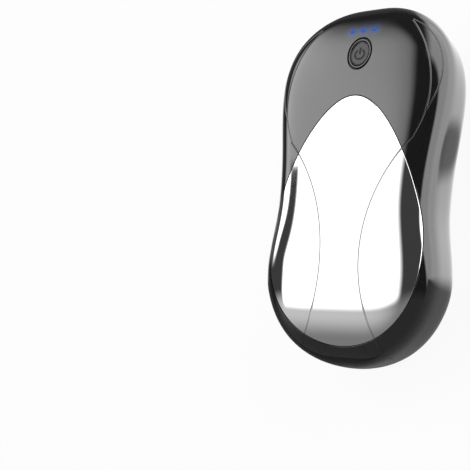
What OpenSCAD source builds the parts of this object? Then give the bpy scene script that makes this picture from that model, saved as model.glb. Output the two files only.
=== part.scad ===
// Rechargeable hand warmer: an hourglass body that fits the closed fist, with a mirror-bright
// teardrop heat panel on its front, a round power button and three charge lights on its head.
// It lies on its back: +Z is out of the front, +Y is towards the head, X is the width.
// All lengths are in millimetres. The parting plane of the two covers is the plane of most width.

/* [Body] */
// Room between the cells and the tail's end
tail_room = 13; // [12.5:0.1:14]
// Room between the cells and the head's end, for the boards and the sockets
head_room = 30; // [29.5:0.1:32]
// Width of the head lobe, before its end rounds it off
head_w = 58.8; // [57:0.2:62]
// Width at the waist, where the fingers close
waist_w = 48.2; // [47:0.2:52]
// Width of the tail lobe, before its end rounds it off
tail_w = 55.2; // [54:0.2:59]
// Where the head lobe reaches its full width, from the head's end
head_lobe = 7; // [4:0.5:10]
// Where the waist is narrowest, from mid-length
waist_y = -7; // [-10:0.5:-4]
// Where the tail lobe reaches its full width, from the tail's end
tail_lobe = 19; // [16:0.5:22]
// Rise of the front above the parting plane
front_h = 15.4; // [15:0.1:17]
// Depth of the back below the parting plane
back_h = 16; // [15.5:0.1:18]
// How much lower the front and the back each lie at the head than at mid-length
taper = 1.5; // [0.5:0.1:1.8]
// Depth of the flat on the back, on which the hand warmer rests
rest_flat = 0.5; // [0.3:0.05:0.8]
// Wall of both covers
wall = 2; // [1.8:0.1:2.2]

/* [Roundness] */
// Squareness of the plan outline towards both ends
plan_power = 4; // [3.6:0.1:4.4]
// Squareness of the front's side view at the head
head_power = 3.2; // [2.8:0.1:3.6]
// Squareness of the front's side view at the tail
tail_power = 2.6; // [2.4:0.1:3]
// Squareness of the back's side view at both ends
back_end_power = 2.6; // [2.4:0.1:3]
// Squareness of the front's cross section
front_power = 4.8; // [4.4:0.1:5.2]
// Squareness of the back's cross section
back_power = 3.1; // [2.9:0.1:3.5]

/* [Heat panel] */
// Upper tip of the teardrop, from the head's end
panel_from_head = 31; // [30:0.5:33]
// Lower end of the teardrop, from the tail's end
panel_from_tail = 5.4; // [5:0.2:6]
// Radius of the upper tip
tip_r = 7; // [6:0.5:8]
// Radius of the lower end
foot_r = 23; // [21:0.5:24]
// Thickness of the panel
panel_t = 0.8; // [0.6:0.05:0.9]
// Gap round the panel's edge
panel_gap = 0.12; // [0.08:0.02:0.2]
// Thickness of the tape that holds the panel
tape_t = 0.2; // [0.14:0.02:0.3]
// Width of the ledge that the tape lies on
ledge_w = 5; // [4.5:0.25:5.5]

/* [Grip creases] */
// Radius of the long crease on each side of the panel
grip_r = 51.5; // [50:0.5:54]
// Least distance of that crease from the middle line
grip_x = 5.9; // [5:0.1:7]
// Where that crease comes nearest, from the tail's end
grip_from_tail = 29.6; // [28:0.2:31]
// Width of the crease's groove
groove_w = 0.5; // [0.3:0.05:0.7]
// Depth of the crease's groove
groove_d = 0.2; // [0.1:0.02:0.25]
// Where the long crease opens into the crescent, from the head's end
crescent_low = 44; // [43:0.25:45]
// Where the crescent closes again, from the head's end
crescent_high = 7.6; // [7:0.1:8.5]

/* [Button] */
// Centre of the button, from the head's end
button_from_head = 17.6; // [17:0.1:18.5]
// Width of the moving oval button
button_d = 5.8; // [5.6:0.1:6]
// Outer width of the ring round it
ring_d = 7.6; // [7.5:0.1:7.8]
// Length of the oval along the body, as a share of its width
oval_share = 1.42; // [1.36:0.02:1.44]
// How far the button travels
button_travel = 0.4; // [0.25:0.05:0.5]
// Running gap round the button and the ring, on each side
fit = 0.07; // [0.05:0.01:0.07]

/* [Charge lights] */
// Row of the lights, from the head's end
light_from_head = 10; // [9.5:0.1:10.5]
// Distance between two lights
light_step = 3.5; // [3:0.1:4]
// Diameter of each light window
light_d = 1.3; // [1:0.1:1.6]

/* [Cells] */
// Diameter of a cell
cell_d = 18.4; // [18:0.1:18.6]
// Length of a cell
cell_l = 65; // [64:0.5:66]
// Gap between the two cells
cell_gap = 0.3; // [0.1:0.05:0.5]

/* [Ports] */
// Depth of the port pocket's flat floor in the head's end
port_depth = 2.8; // [2.4:0.1:3]
// Width of the output socket's shell
output_w = 13.1; // [12.9:0.1:13.3]
// Height of the output socket's shell
output_h = 5.7; // [5.5:0.1:5.9]
// Centre of the output socket, from the middle line
output_x = -5.4; // [-5.8:0.1:-5]
// Width of the charging inlet's shell
inlet_w = 8.9; // [8.7:0.1:9.1]
// Height of the charging inlet's shell
inlet_h = 3.3; // [3.1:0.1:3.5]
// Centre of the charging inlet, from the middle line
inlet_x = 7.6; // [7.2:0.1:8]

/* [Hidden] */
$fn = 48;
// One overrun serves every cut, and one small gap keeps faces apart that lie against each other
over = 1;
rest_gap = 0.05;
part_z = back_h - rest_flat;
// The length follows from the cells and the room at both ends; places are measured from mid-length
half_l = (cell_l + tail_room + head_room) / 2;
head_y = half_l - head_lobe;
tail_y = tail_lobe - half_l;
panel_top = half_l - panel_from_head;
panel_low = panel_from_tail - half_l;
grip_y = grip_from_tail - half_l;
cross_y = half_l - crescent_low;
crescent_top = half_l - crescent_high;
button_y = half_l - button_from_head;
light_y = half_l - light_from_head;
cell_low = tail_room - half_l;
cell_high = half_l - head_room;
port_y = half_l - port_depth;

// Rows and columns of the moulded skins
skin_rows = 42;
lining_rows = 20;
lining_cols = 8;
back_cols = 12;
side_cols = 9;
face_cols = 3;
outline_steps = 40;

// The creases on the head, each of two arcs that meet at the widest place
inner_x = 22.3;
inner_from_head = 30;
inner_y = half_l - inner_from_head;
inner_up_r = 35;
inner_down_r = 29.5;
outer_x = 24.5;
outer_from_head = 24.5;
outer_y = half_l - outer_from_head;
outer_up_r = 19;
outer_down_r = 42;
// Where the groove fades out at the tail, and how near a crease may come to the rim
groove_from_tail = 3.6;
groove_end = groove_from_tail - half_l;
crease_limit_share = 0.94;
// The panel's sheet has the skin's own rows and columns, with the rim's columns left out,
// and reaches at least one row beyond the panel at each end
rim_cols = 2;
sheet_margin = 4.4;

// A smooth step from 0 to 1
function ease(k) = (1 - cos(180 * max(0, min(1, k)))) / 2;
// A superellipse quadrant's height over its share of the half width
function round_off(share, p, q) = pow(max(0, 1 - pow(min(1, abs(share)), p)), 1 / q);
// Rise of an arc of radius r at a distance d from its flattest point
function sag(r, d) = r - sqrt(max(0, r * r - d * d));

function lobe(y) = y > waist_y
    ? waist_w + (head_w - waist_w) * ease((y - waist_y) / (head_y - waist_y))
    : waist_w + (tail_w - waist_w) * ease((waist_y - y) / (waist_y - tail_y));
function half_w(y, inset = 0) =
    max(0, lobe(y) / 2 - inset) * round_off(y / (half_l - inset), plan_power, 2);
function front_z(y, inset = 0) = let (p = y > 0 ? head_power : tail_power)
    (front_h - taper * y / half_l - inset) * round_off(y / (half_l - inset), p, p);
function back_z(y, inset = 0) =
    (back_h - taper * y / half_l - inset)
    * round_off(y / (half_l - inset), back_end_power, back_end_power);
function front_at(x, y) = front_z(y) * round_off(x / half_w(y), front_power, front_power);
// Half width inside the back cover at a depth below the parting plane
function back_room(y, depth) =
    half_w(y, wall) * round_off(depth / back_z(y, wall), back_power, back_power);

// The crease lines: one long arc up to the crossing, then the two edges of the crescent
function grip_line(y) = grip_x + sag(grip_r, y - grip_y);
function inner_line(y) = inner_x - sag(y > inner_y ? inner_up_r : inner_down_r, y - inner_y);
function outer_line(y) = outer_x - sag(y > outer_y ? outer_up_r : outer_down_r, y - outer_y);
function tip_line(y) = half_w(y) * inner_line(crescent_top) / half_w(crescent_top);
function line_in(y) = y > crescent_top ? tip_line(y) : y > cross_y ? inner_line(y) : grip_line(y);
function line_out(y) = y > crescent_top ? tip_line(y)
    : y > cross_y ? max(min(grip_line(y), outer_line(y)), inner_line(y)) : grip_line(y);
function groove_at(y) = y < cross_y && y > groove_end ? groove_d : 0;

// One point of the front skin, u being the share of the half width
function skin_point(y, u, drop) =
    [u * half_w(y), y, front_z(y) * round_off(u, front_power, front_power) - drop];
function middle(a, b, deeper) = (a + b) / 2 - [0, 0, deeper];
// Right half of a row: rim, side wall, outer line, groove, inner line and the face to the middle
function skin_half(y, first, drop) =
    let (w = half_w(y),
        limit = crease_limit_share * w,
        b = min(line_out(y) + groove_w / 2, limit) / w,
        a = min(line_in(y) - groove_w / 2, limit - groove_w) / w,
        turn = acos(pow(b, front_power / 2)))
    concat([for (i = [first : side_cols])
                skin_point(y, pow(cos(turn * i / side_cols), 2 / front_power), drop)],
        [middle(skin_point(y, a, drop), skin_point(y, b, drop), groove_at(y))],
        [for (j = [0 : face_cols]) skin_point(y, a * (1 - j / face_cols), drop)]);
function both_halves(r) =
    concat(r, [for (k = [len(r) - 2 : -1 : 0]) [-r[k][0], r[k][1], r[k][2]]]);
function skin_row(y, first, drop) = both_halves(skin_half(y, first, drop));
// A plain row with no creases, for the back and for the inside of both covers
function plain_row(y, inset, h, p, cols) =
    both_halves([for (i = [0 : cols]) let (u = pow(cos(90 * i / cols), 2 / p))
        [u * half_w(y, inset), y, h * round_off(u, p, p)]]);
function end_steps(rows, reach) = [for (i = [1 : rows]) -reach * cos(180 * i / (rows + 1))];

// A closed dome on the parting plane: rows of points from the right rim over to the left rim
module dome(rows, reach) {
    n = len(rows[0]);
    m = len(rows);
    head = 1 + m * n;
    points = concat([[0, -reach, 0]], [for (r = rows) each r], [[0, reach, 0]]);
    polyhedron(points, concat(
        [for (j = [0 : n - 2]) [1 + j, 0, 2 + j]],
        [for (i = [0 : m - 2], j = [0 : n - 2]) let (a = 1 + i * n + j) each
            [[a, a + 1, a + n + 1], [a, a + n + 1, a + n]]],
        [for (j = [0 : n - 2]) [head - n + j, head - n + j + 1, head]],
        [concat([0], [for (i = [0 : m - 1]) 1 + i * n], [head],
            [for (i = [m - 1 : -1 : 0]) i * n + n])]));
}

// A closed sheet between two grids of points with equal rows and columns
module sheet(upper, lower) {
    n = len(upper[0]);
    m = len(upper);
    below = m * n;
    edge = concat([for (i = [0 : m - 1]) i * n], [for (j = [1 : n - 1]) (m - 1) * n + j],
        [for (i = [m - 2 : -1 : 0]) i * n + n - 1], [for (j = [n - 2 : -1 : 1]) j]);
    e = len(edge);
    polyhedron(concat([for (r = upper) each r], [for (r = lower) each r]), concat(
        [for (i = [0 : m - 2], j = [0 : n - 2]) let (a = i * n + j) each
            [[a, a + 1, a + n + 1], [a, a + n + 1, a + n]]],
        [for (i = [0 : m - 2], j = [0 : n - 2]) let (a = below + i * n + j) each
            [[a, a + n + 1, a + 1], [a, a + n, a + n + 1]]],
        [for (k = [0 : e - 1]) let (p = edge[k], q = edge[(k + 1) % e]) each
            [[p, q, q + below], [p, q + below, p + below]]]));
}

module front_skin() dome([for (y = end_steps(skin_rows, half_l)) skin_row(y, 0, 0)], half_l);
module front_lining() translate([0, 0, -rest_gap])
    dome([for (y = end_steps(lining_rows, half_l - wall))
        plain_row(y, wall, front_z(y, wall), front_power, lining_cols)], half_l - wall);
module back_skin() mirror([0, 0, 1])
    dome([for (y = end_steps(skin_rows, half_l))
        plain_row(y, 0, back_z(y), back_power, back_cols)], half_l);
module back_lining() mirror([0, 0, 1]) translate([0, 0, -rest_gap])
    dome([for (y = end_steps(lining_rows, half_l - wall))
        plain_row(y, wall, back_z(y, wall), back_power, lining_cols)], half_l - wall);

// The front skin between two depths, wide enough for the panel
module skin_sheet(from, to) {
    steps = [for (y = end_steps(skin_rows, half_l))
        if (y > panel_low - sheet_margin && y < panel_top + sheet_margin) y];
    sheet([for (y = steps) skin_row(y, rim_cols, from)], [for (y = steps) skin_row(y, rim_cols, to)]);
}

// Teardrop outline, drawn in by an inset: its tip and foot are arcs, its sides one smooth curve
function tear_half(k, inset) = let (l = panel_top - panel_low - 2 * inset)
    sqrt(2 * l * k * (1 - k)) * (sqrt(tip_r - inset) * (1 - k) + sqrt(foot_r - inset) * k);
function tear_y(k, inset) = panel_top - inset - (panel_top - panel_low - 2 * inset) * k;
module tear_prism(inset, z0, z1) {
    ks = [for (i = [0 : outline_steps]) ease(i / outline_steps)];
    right = [for (k = ks) [tear_half(k, inset), tear_y(k, inset)]];
    left = [for (i = [outline_steps - 1 : -1 : 1]) [-right[i][0], right[i][1]]];
    translate([0, 0, z0]) linear_extrude(z1 - z0) polygon(concat(right, left));
}

// Frame of the button: on the front skin, square to it
button_z = front_z(button_y);
probe = button_d / 4;
tilt = atan((front_z(button_y - probe) - front_z(button_y + probe)) / (2 * probe));
module at_button() translate([0, button_y, button_z]) rotate([-tilt, 0, 0]) children();
// Place of a point of the body in the button's frame
function local_y(y, z) = (y - button_y) * cos(tilt) - (z - button_z) * sin(tilt);
function local_z(y, z) = (y - button_y) * sin(tilt) + (z - button_z) * cos(tilt);

// An oval bar, longer along the body than across it
module oval(h, d) scale([1, oval_share, 1]) cylinder(h = h, d = d);
module ring(outer, inner, h) difference() {
    oval(h, outer);
    translate([0, 0, -over]) oval(h + 2 * over, inner);
}
// A block that spans from one corner to another
module block(a, b) translate(a) cube(b - a);
// A bar of round ends that lies along X, extruded along Y from y0 to y1
module slot(w, h, y0, y1) translate([0, y1, 0]) rotate([90, 0, 0]) {
    translate([-(w - h) / 2, -h / 2, 0]) cube([w - h, h, y1 - y0]);
    for (s = [-1, 1]) translate([s * (w - h) / 2, 0, 0]) cylinder(h = y1 - y0, d = h);
}
module screw(head_d, head_h, thread_d, length) {
    cylinder(h = head_h, d = head_d);
    translate([0, 0, -length]) cylinder(h = length, d = thread_d);
}
module screw_with_cross(head_d, head_h, thread_d, length, cross_w, cross_d) difference() {
    screw(head_d, head_h, thread_d, length);
    for (a = [0, 90]) rotate([0, 0, a])
        block([-head_d / 3, -cross_w / 2, head_h - cross_d], [head_d / 3, cross_w / 2, head_h + over]);
}

// Screws and posts
thread_d = 2;
pilot_d = thread_d + 2 * rest_gap;
head_d = 3.8;
head_h = 1.3;
cross_w = 0.5;
cross_d = 0.6;
post_d = 4.6;
cover_screw_x = 6;
cover_screw_from_tail = 9.2;
cover_screw_y = cover_screw_from_tail - half_l;
cover_screw_seat = 7.4;
cover_screw_l = 12;
counterbore_gap = 0.2;
counterbore_d = head_d + 2 * counterbore_gap;
pin_d = 3;
pin_l = 5;
pin_x = 21.3;
pin_from_cells = 5;
pin_y = cell_high + pin_from_cells;
pin_post_d = 5.4;

// Button ring, its seat and the small board under it
ring_top = 0.05;
ring_seat = 3;
ring_flange_d = 9.4;
ring_flange_t = 0.6;
ring_boss_d = 9.7;
button_low = 0.1;
button_flange_d = 7.2;
button_flange_t = 0.7;
button_dish = 0.15;
button_edge = 0.3;
stem_d = 3;
plunger_d = 2.4;
plunger_rise = 0.7;
plunger_sink = 1.2;
switch_w = 5.2;
switch_h = 1.8;
switch_edge = 0.3;
stem_reach = 0.2;
stem_end = ring_seat + ring_flange_t + rest_gap + button_flange_t;
plunger_top = stem_end + stem_reach;
switch_top = plunger_top + plunger_rise;
key_top = switch_top + switch_h + rest_gap;
key_t = 1;
key_half_w = 10.6;
key_low = -5.4;
key_high = 10.2;
key_corner_r = 2;
key_post_x = 8;
key_post_y = -3.2;
key_post_d = 4;
key_screw_l = 4;

// Charge lights
light_z = front_at(0, light_y);
light_row = local_y(light_y, light_z);
light_rise = local_z(light_y, light_z);
led_w = 1.6;
led_l = 0.9;
led_h = 0.6;
guide_bar_h = 1;
guide_bar_w = 2;
guide_bar_low = 4.6;

// Main board: the output socket stands on it, close under the key board
key_low_z = button_z - (key_top + key_t) * cos(tilt) - key_high * sin(tilt);
key_over_socket = 0.45;
output_z = key_low_z - key_over_socket - output_h / 2;
board_top = output_z - output_h / 2 - rest_gap;
board_t = 1.2;
board_half_w = 18;
board_from_cells = 3.4;
board_low = cell_high + board_from_cells;
board_gap = 0.6;
port_wall = 2.6;
port_pocket_w = 26;
port_pocket_h = 7.6;
port_block_w = 29;
port_block_h = 11;
port_recess = 0.2;
port_gap = 0.15;
shell_t = 0.35;
output_l = 14;
output_tongue_w = 11;
output_tongue_t = 1.9;
output_tongue_l = 8.6;
output_back_t = 4;
inlet_l = 7.4;
inlet_tongue_w = 6.6;
inlet_tongue_t = 0.7;
inlet_tongue_l = 4.6;
inlet_back_t = 2;
board_end = port_y - port_wall - board_gap;
board_screw_x = 15;
board_screw_in = 3.2;
board_screw_y = board_low + board_screw_in;
board_screw_l = 5;
inlet_z = board_top + inlet_h / 2 + rest_gap;

// Heater: film under the panel, foam under the film
tape_gap = 0.02;
film_gap = 0.5;
film_t = 0.25;
film_from_edge = 7.6;
film_low = panel_low + film_from_edge;
film_margin = 0.6;
film_steps = 16;
strip_w = 5;
strip_from_tip = 9.6;
strip_bend_y = panel_top - strip_from_tip;
strip_duck = 0.5;
film_from_cells = 0.4;
strip_gap = 0.1;
strip_run_y = cell_high + film_from_cells;
strip_down_y = board_low - strip_gap;
foam_hole_d = 3.4;
bead_d = 1.8;
bead_l = 3.2;
bead_y = -14;
cell_x = (cell_d + cell_gap) / 2;
rib_t = 1.8;
rib_top = 3;
rib_half_w = 17;
rib_shares = [0.17, 0.5, 0.83];
tab_t = 0.25;
tab_w = 7;
insulator_t = 0.3;
insulator_d = 17;
button_cap_d = 5.6;
button_cap_h = 1.2;
crimp_y = 3.2;
crimp_d = 0.5;
lead_d = 1.3;
lead_x = 11;
lead_on_board = 2.6;
lead_end_y = board_low + lead_on_board;
lead_low_z = board_top - board_t - lead_d / 2 - rest_gap;
solder_d = 2;
solder_h = 0.9;
channel_half_w = 2.4;
channel_gap = 0.55;
channel_floor = lead_low_z - lead_d / 2 - channel_gap;

coil_d = 7.4;
coil_h = 3.6;
coil_core_h = 0.7;
coil_core_d = 3.2;
coil_x = 12.6;
coil_on_board = 11.2;
coil_y = board_low + coil_on_board;
cap_d = 5;
cap_h = 5.4;
cap_groove = 0.3;
cap_x = 15.4;
cap_on_board = 8;
cap_step = 5.6;
chip_t = 1;
chip_w = 5;
chip_left_x = -4.6;
chip_right_x = 3.4;
chip_on_board = 3.2;
chip_y = board_low + chip_on_board;
link_w = 8.4;
link_h = 2.5;
link_pins = 4;
link_pin_d = 0.6;
link_on_board = 7.8;
link_y = board_low + link_on_board;
link_x = 4.6;

module port_holes() {
    translate([output_x, 0, output_z])
        block([-output_w / 2 - port_gap, port_y - port_wall - over, -output_h / 2 - port_gap],
            [output_w / 2 + port_gap, half_l + over, output_h / 2 + port_gap]);
    translate([inlet_x, 0, inlet_z])
        slot(inlet_w + 2 * port_gap, inlet_h + 2 * port_gap, port_y - port_wall - over, half_l + over);
    translate([0, 0, output_z]) slot(port_pocket_w, port_pocket_h, port_y, half_l + over);
}
module port_block() block([-port_block_w / 2, port_y - port_wall, output_z - port_block_h / 2],
    [port_block_w / 2, half_l, output_z + port_block_h / 2]);

module front_cover() color("#1c1c1e") translate([0, 0, part_z]) {
    front_shell();
    for (s = [-1, 1]) translate([s * pin_x, pin_y, -pin_l]) cylinder(h = pin_l + over, d = pin_d);
}
module front_shell() difference() {
    front_skin();
    difference() {
        front_lining();
        port_block();
        for (s = [-1, 1]) {
            translate([s * cover_screw_x, cover_screw_y, -over]) cylinder(h = front_h, d = post_d);
            translate([s * pin_x, pin_y, rest_gap]) cylinder(h = front_h, d = pin_post_d);
        }
        at_button() {
            translate([0, 0, -ring_seat]) oval(ring_seat, ring_boss_d);
            for (s = [-1, 1]) translate([s * key_post_x, key_post_y, -key_top + rest_gap])
                cylinder(h = key_top, d = key_post_d);
        }
    }
    intersection() {
        tear_prism(-panel_gap, 0, front_h + 2 * over);
        skin_sheet(-over, panel_t + tape_t);
    }
    tear_prism(ledge_w, 0, front_h + over);
    for (s = [-1, 1]) translate([s * cover_screw_x, cover_screw_y, 0]) {
        translate([0, 0, -over]) cylinder(h = front_h, d = pilot_d);
        translate([0, 0, cover_screw_seat]) cylinder(h = front_h - cover_screw_seat, d = counterbore_d);
    }
    at_button() {
        translate([0, 0, -key_top]) oval(key_top + over, ring_d + 2 * fit);
        for (i = [-1 : 1]) translate([i * light_step, light_row, -key_top])
            cylinder(h = key_top + over, d = light_d + 2 * fit);
        for (s = [-1, 1]) translate([s * key_post_x, key_post_y, -key_top - over])
            cylinder(h = key_screw_l + over, d = pilot_d);
    }
    port_holes();
}

module back_cover() color("#1a1a1c") translate([0, 0, part_z]) {
    difference() {
        back_skin();
        difference() {
            back_lining();
            port_block();
            for (s = [-1, 1]) {
                translate([s * cover_screw_x, cover_screw_y, -back_h]) cylinder(h = back_h, d = post_d);
                translate([s * pin_x, pin_y, -back_h]) cylinder(h = back_h, d = pin_post_d);
                translate([s * board_screw_x, board_screw_y, -back_h])
                    cylinder(h = back_h + board_top - board_t - rest_gap, d = post_d);
            }
            for (f = rib_shares) block([-rib_half_w, cell_low + f * cell_l - rib_t / 2, -back_h],
                [rib_half_w, cell_low + f * cell_l + rib_t / 2, -rib_top]);
        }
        for (s = [-1, 1]) {
            translate([s * cell_x, cell_high + over, 0]) rotate([90, 0, 0])
                cylinder(h = cell_l + 2 * over, d = cell_d + 2 * rest_gap);
            translate([s * cover_screw_x, cover_screw_y, cover_screw_seat - cover_screw_l - over])
                cylinder(h = cover_screw_l, d = pilot_d);
            translate([s * pin_x, pin_y, -pin_l - rest_gap])
                cylinder(h = pin_l + over, d = pin_d + 2 * rest_gap);
            translate([s * board_screw_x, board_screw_y, board_top - board_t - board_screw_l - over])
                cylinder(h = board_screw_l + 2 * over, d = pilot_d);
        }
        block([-channel_half_w, cell_low - over, channel_floor], [channel_half_w, cell_high, over]);
        port_holes();
        block([-head_w, -2 * half_l, -back_h - over], [head_w, 2 * half_l, -part_z]);
    }
}

module heat_panel() color("#d4d4d8") translate([0, 0, part_z]) intersection() {
    tear_prism(0, 0, front_h + over);
    skin_sheet(0, panel_t);
}

module panel_tape() color("#c9a227") translate([0, 0, part_z]) intersection() {
    difference() {
        tear_prism(panel_gap, 0, front_h + over);
        tear_prism(ledge_w, -over, front_h + 2 * over);
        for (s = [-1, 1]) translate([s * cover_screw_x, cover_screw_y, 0])
            cylinder(h = front_h + over, d = counterbore_d);
    }
    skin_sheet(panel_t + tape_gap, panel_t + tape_t - tape_gap);
}

// A sheet that follows the front's middle line between two depths
module film_run(from, to, y0, y1) {
    ys = [for (i = [0 : film_steps]) y0 + (y1 - y0) * i / film_steps];
    profile = concat([for (y = ys) [y, front_z(y) - from]],
        [for (i = [film_steps : -1 : 0]) [ys[i], front_z(ys[i]) - to]]);
    rotate([90, 0, 90]) translate([0, 0, -half_l / 2]) linear_extrude(half_l) polygon(profile);
}
film_top = panel_t + film_gap;
strip_start_y = strip_bend_y - strip_w;
// Side view of the film: under the panel, then its strip ducks under the cover and down to the board
module heater_film() color("#b5762a") translate([0, 0, part_z]) {
    z0 = front_z(strip_bend_y, wall) - strip_duck;
    z1 = front_z(strip_run_y, wall) - strip_duck;
    z2 = z1 - strip_down_y + strip_run_y;
    ys = [for (i = [0 : film_steps]) film_low + (strip_start_y - film_low) * i / film_steps];
    upper = concat([for (y = ys) [y, front_z(y) - film_top]],
        [[strip_bend_y, z0], [strip_run_y, z1], [strip_down_y, z2], [strip_down_y, board_top]]);
    lower = concat([[strip_down_y - film_t, board_top], [strip_down_y - film_t, z2],
        [strip_run_y, z1 - film_t], [strip_bend_y, z0 - film_t]],
        [for (i = [film_steps : -1 : 0]) [ys[i], front_z(ys[i]) - film_top - film_t]]);
    intersection() {
        rotate([90, 0, 90]) translate([0, 0, -half_l / 2]) linear_extrude(half_l)
            polygon(concat(upper, lower));
        union() {
            tear_prism(ledge_w + film_margin, board_top - over, front_h + over);
            block([-strip_w / 2, 0, board_top - over], [strip_w / 2, head_y, front_h + over]);
        }
    }
}

module foam_pad() color("#55575c") translate([0, 0, part_z]) difference() {
    intersection() {
        film_run(film_top + film_t + rest_gap, front_h, film_low, strip_start_y);
        tear_prism(ledge_w + film_margin, cell_d / 2 + rest_gap, front_h);
    }
    translate([0, bead_y, 0]) cylinder(h = front_h, d = foam_hole_d);
}

module thermistor() color("#2f6f4f")
    translate([0, bead_y, part_z + front_z(bead_y) - film_top - film_t - rest_gap - bead_d / 2])
    rotate([0, 90, 0]) translate([0, 0, -(bead_l - bead_d) / 2]) {
        cylinder(h = bead_l - bead_d, d = bead_d);
        sphere(d = bead_d);
        translate([0, 0, bead_l - bead_d]) sphere(d = bead_d);
    }

module cover_screws() color("#9a9ca0") for (s = [-1, 1])
    translate([s * cover_screw_x, cover_screw_y, part_z + cover_screw_seat + rest_gap])
        screw_with_cross(head_d, head_h, thread_d, cover_screw_l, cross_w, cross_d);

module button_ring() color("#3a3a3d") translate([0, 0, part_z]) at_button() {
    translate([0, 0, -ring_seat - ring_flange_t])
        ring(ring_d, button_d + 2 * fit, ring_seat + ring_flange_t - ring_top);
    translate([0, 0, -ring_seat - ring_flange_t - rest_gap])
        ring(ring_flange_d, button_d + 2 * fit, ring_flange_t);
}

module power_button() color("#2b2b2e") translate([0, 0, part_z]) at_button() {
    flange_top = ring_seat + ring_flange_t + 2 * rest_gap;
    difference() {
        translate([0, 0, -flange_top - button_flange_t])
            oval(flange_top + button_flange_t - button_low, button_d);
        translate([0, 0, -button_low - button_dish])
            oval(button_dish + over, button_d - 2 * button_edge);
    }
    translate([0, 0, -flange_top - button_flange_t]) oval(button_flange_t, button_flange_d);
    translate([0, 0, -plunger_top]) cylinder(h = plunger_top - flange_top, d = stem_d);
}

module switch_body() color("#3c3c40") translate([0, 0, part_z]) at_button()
    translate([0, 0, -switch_top - switch_h]) difference() {
        block([-switch_w / 2, -switch_w / 2, 0], [switch_w / 2, switch_w / 2, switch_h]);
        translate([0, 0, switch_h - plunger_sink - button_travel])
            cylinder(h = switch_h, d = plunger_d + 2 * fit);
        translate([0, 0, switch_h - switch_edge]) difference() {
            block([-switch_w, -switch_w, 0], [switch_w, switch_w, over]);
            cylinder(h = over, d = switch_w - 2 * switch_edge);
        }
    }

module switch_plunger() color("#8a6a3c") translate([0, 0, part_z]) at_button()
    translate([0, 0, -switch_top - plunger_sink])
        cylinder(h = plunger_sink + plunger_rise - rest_gap, d = plunger_d);

module rounded_plate(x0, y0, x1, y1, r, t) {
    block([x0 + r, y0, 0], [x1 - r, y1, t]);
    block([x0, y0 + r, 0], [x1, y1 - r, t]);
    for (x = [x0 + r, x1 - r], y = [y0 + r, y1 - r]) translate([x, y, 0]) cylinder(h = t, r = r);
}
module key_board() color("#1f5a3a") translate([0, 0, part_z]) at_button()
    translate([0, 0, -key_top - key_t]) difference() {
        rounded_plate(-key_half_w, key_low, key_half_w, key_high, key_corner_r, key_t);
        for (s = [-1, 1]) translate([s * key_post_x, key_post_y, -over])
            cylinder(h = key_t + 2 * over, d = pilot_d);
    }

module key_board_screws() color("#9a9ca0") translate([0, 0, part_z]) at_button()
    for (s = [-1, 1]) translate([s * key_post_x, key_post_y, -key_top - key_t - rest_gap])
        rotate([180, 0, 0]) screw_with_cross(head_d, head_h, thread_d, key_screw_l, cross_w, cross_d);

module light_guide() color("#bcd4ff") translate([0, 0, part_z]) at_button() {
    pin_low = key_top - led_h - 3 * rest_gap;
    for (i = [-1 : 1]) translate([i * light_step, light_row, -pin_low])
        cylinder(h = pin_low + light_rise - rest_gap, d = light_d);
    block([-light_step - light_d / 2, light_row - guide_bar_w / 2, -guide_bar_low - guide_bar_h],
        [light_step + light_d / 2, light_row + guide_bar_w / 2, -guide_bar_low]);
}

module indicator_lights() color("#e8e8d8") translate([0, 0, part_z]) at_button()
    for (i = [-1 : 1]) translate([i * light_step, light_row, -key_top + rest_gap])
        block([-led_w / 2, -led_l / 2, 0], [led_w / 2, led_l / 2, led_h]);

module board_link() color("#26262a") translate([0, 0, part_z]) {
    step = link_w / link_pins;
    reach = button_z - (key_top + key_t + rest_gap) / cos(tilt)
        - (link_y - button_y + link_h) * tan(tilt);
    translate([link_x - link_w / 2, link_y - link_h / 2, board_top + rest_gap])
        cube([link_w, link_h, link_h]);
    for (i = [0 : link_pins - 1])
        translate([link_x - link_w / 2 + (i + 1 / 2) * step, link_y, board_top + rest_gap])
            cylinder(h = reach - board_top - rest_gap, d = link_pin_d);
}

module main_board() color("#1f5a3a") translate([0, 0, part_z + board_top - board_t]) difference() {
    ys = [for (i = [0 : outline_steps / 2]) board_low + (board_end - board_low) * i / (outline_steps / 2)];
    right = [for (y = ys) [min(board_half_w, back_room(y, board_t - board_top) - board_gap), y]];
    left = [for (i = [len(ys) - 1 : -1 : 0]) [-right[i][0], right[i][1]]];
    linear_extrude(board_t) polygon(concat(right, left));
    for (s = [-1, 1]) translate([s * board_screw_x, board_screw_y, -over])
        cylinder(h = board_t + 2 * over, d = pilot_d);
}

module main_board_screws() color("#9a9ca0") for (s = [-1, 1])
    translate([s * board_screw_x, board_screw_y, part_z + board_top + rest_gap])
        screw_with_cross(head_d, head_h, thread_d, board_screw_l, cross_w, cross_d);

module output_shell() color("#b9bcc2") translate([output_x, port_y - port_recess, part_z + output_z])
    difference() {
        block([-output_w / 2, -output_l, -output_h / 2], [output_w / 2, 0, output_h / 2]);
        block([-output_w / 2 + shell_t, -output_l + shell_t, -output_h / 2 + shell_t],
            [output_w / 2 - shell_t, over, output_h / 2 - shell_t]);
    }

module output_tongue() color("#f0f0ee") translate([output_x, port_y - port_recess, part_z + output_z]) {
    inner_w = output_w / 2 - shell_t - rest_gap;
    inner_h = output_h / 2 - shell_t - rest_gap;
    back = -output_l + shell_t + rest_gap;
    block([-inner_w, back, -inner_h], [inner_w, back + output_back_t, inner_h]);
    block([-output_tongue_w / 2, back, inner_h - shell_t - output_tongue_t],
        [output_tongue_w / 2, back + output_back_t + output_tongue_l, inner_h - shell_t]);
}

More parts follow.
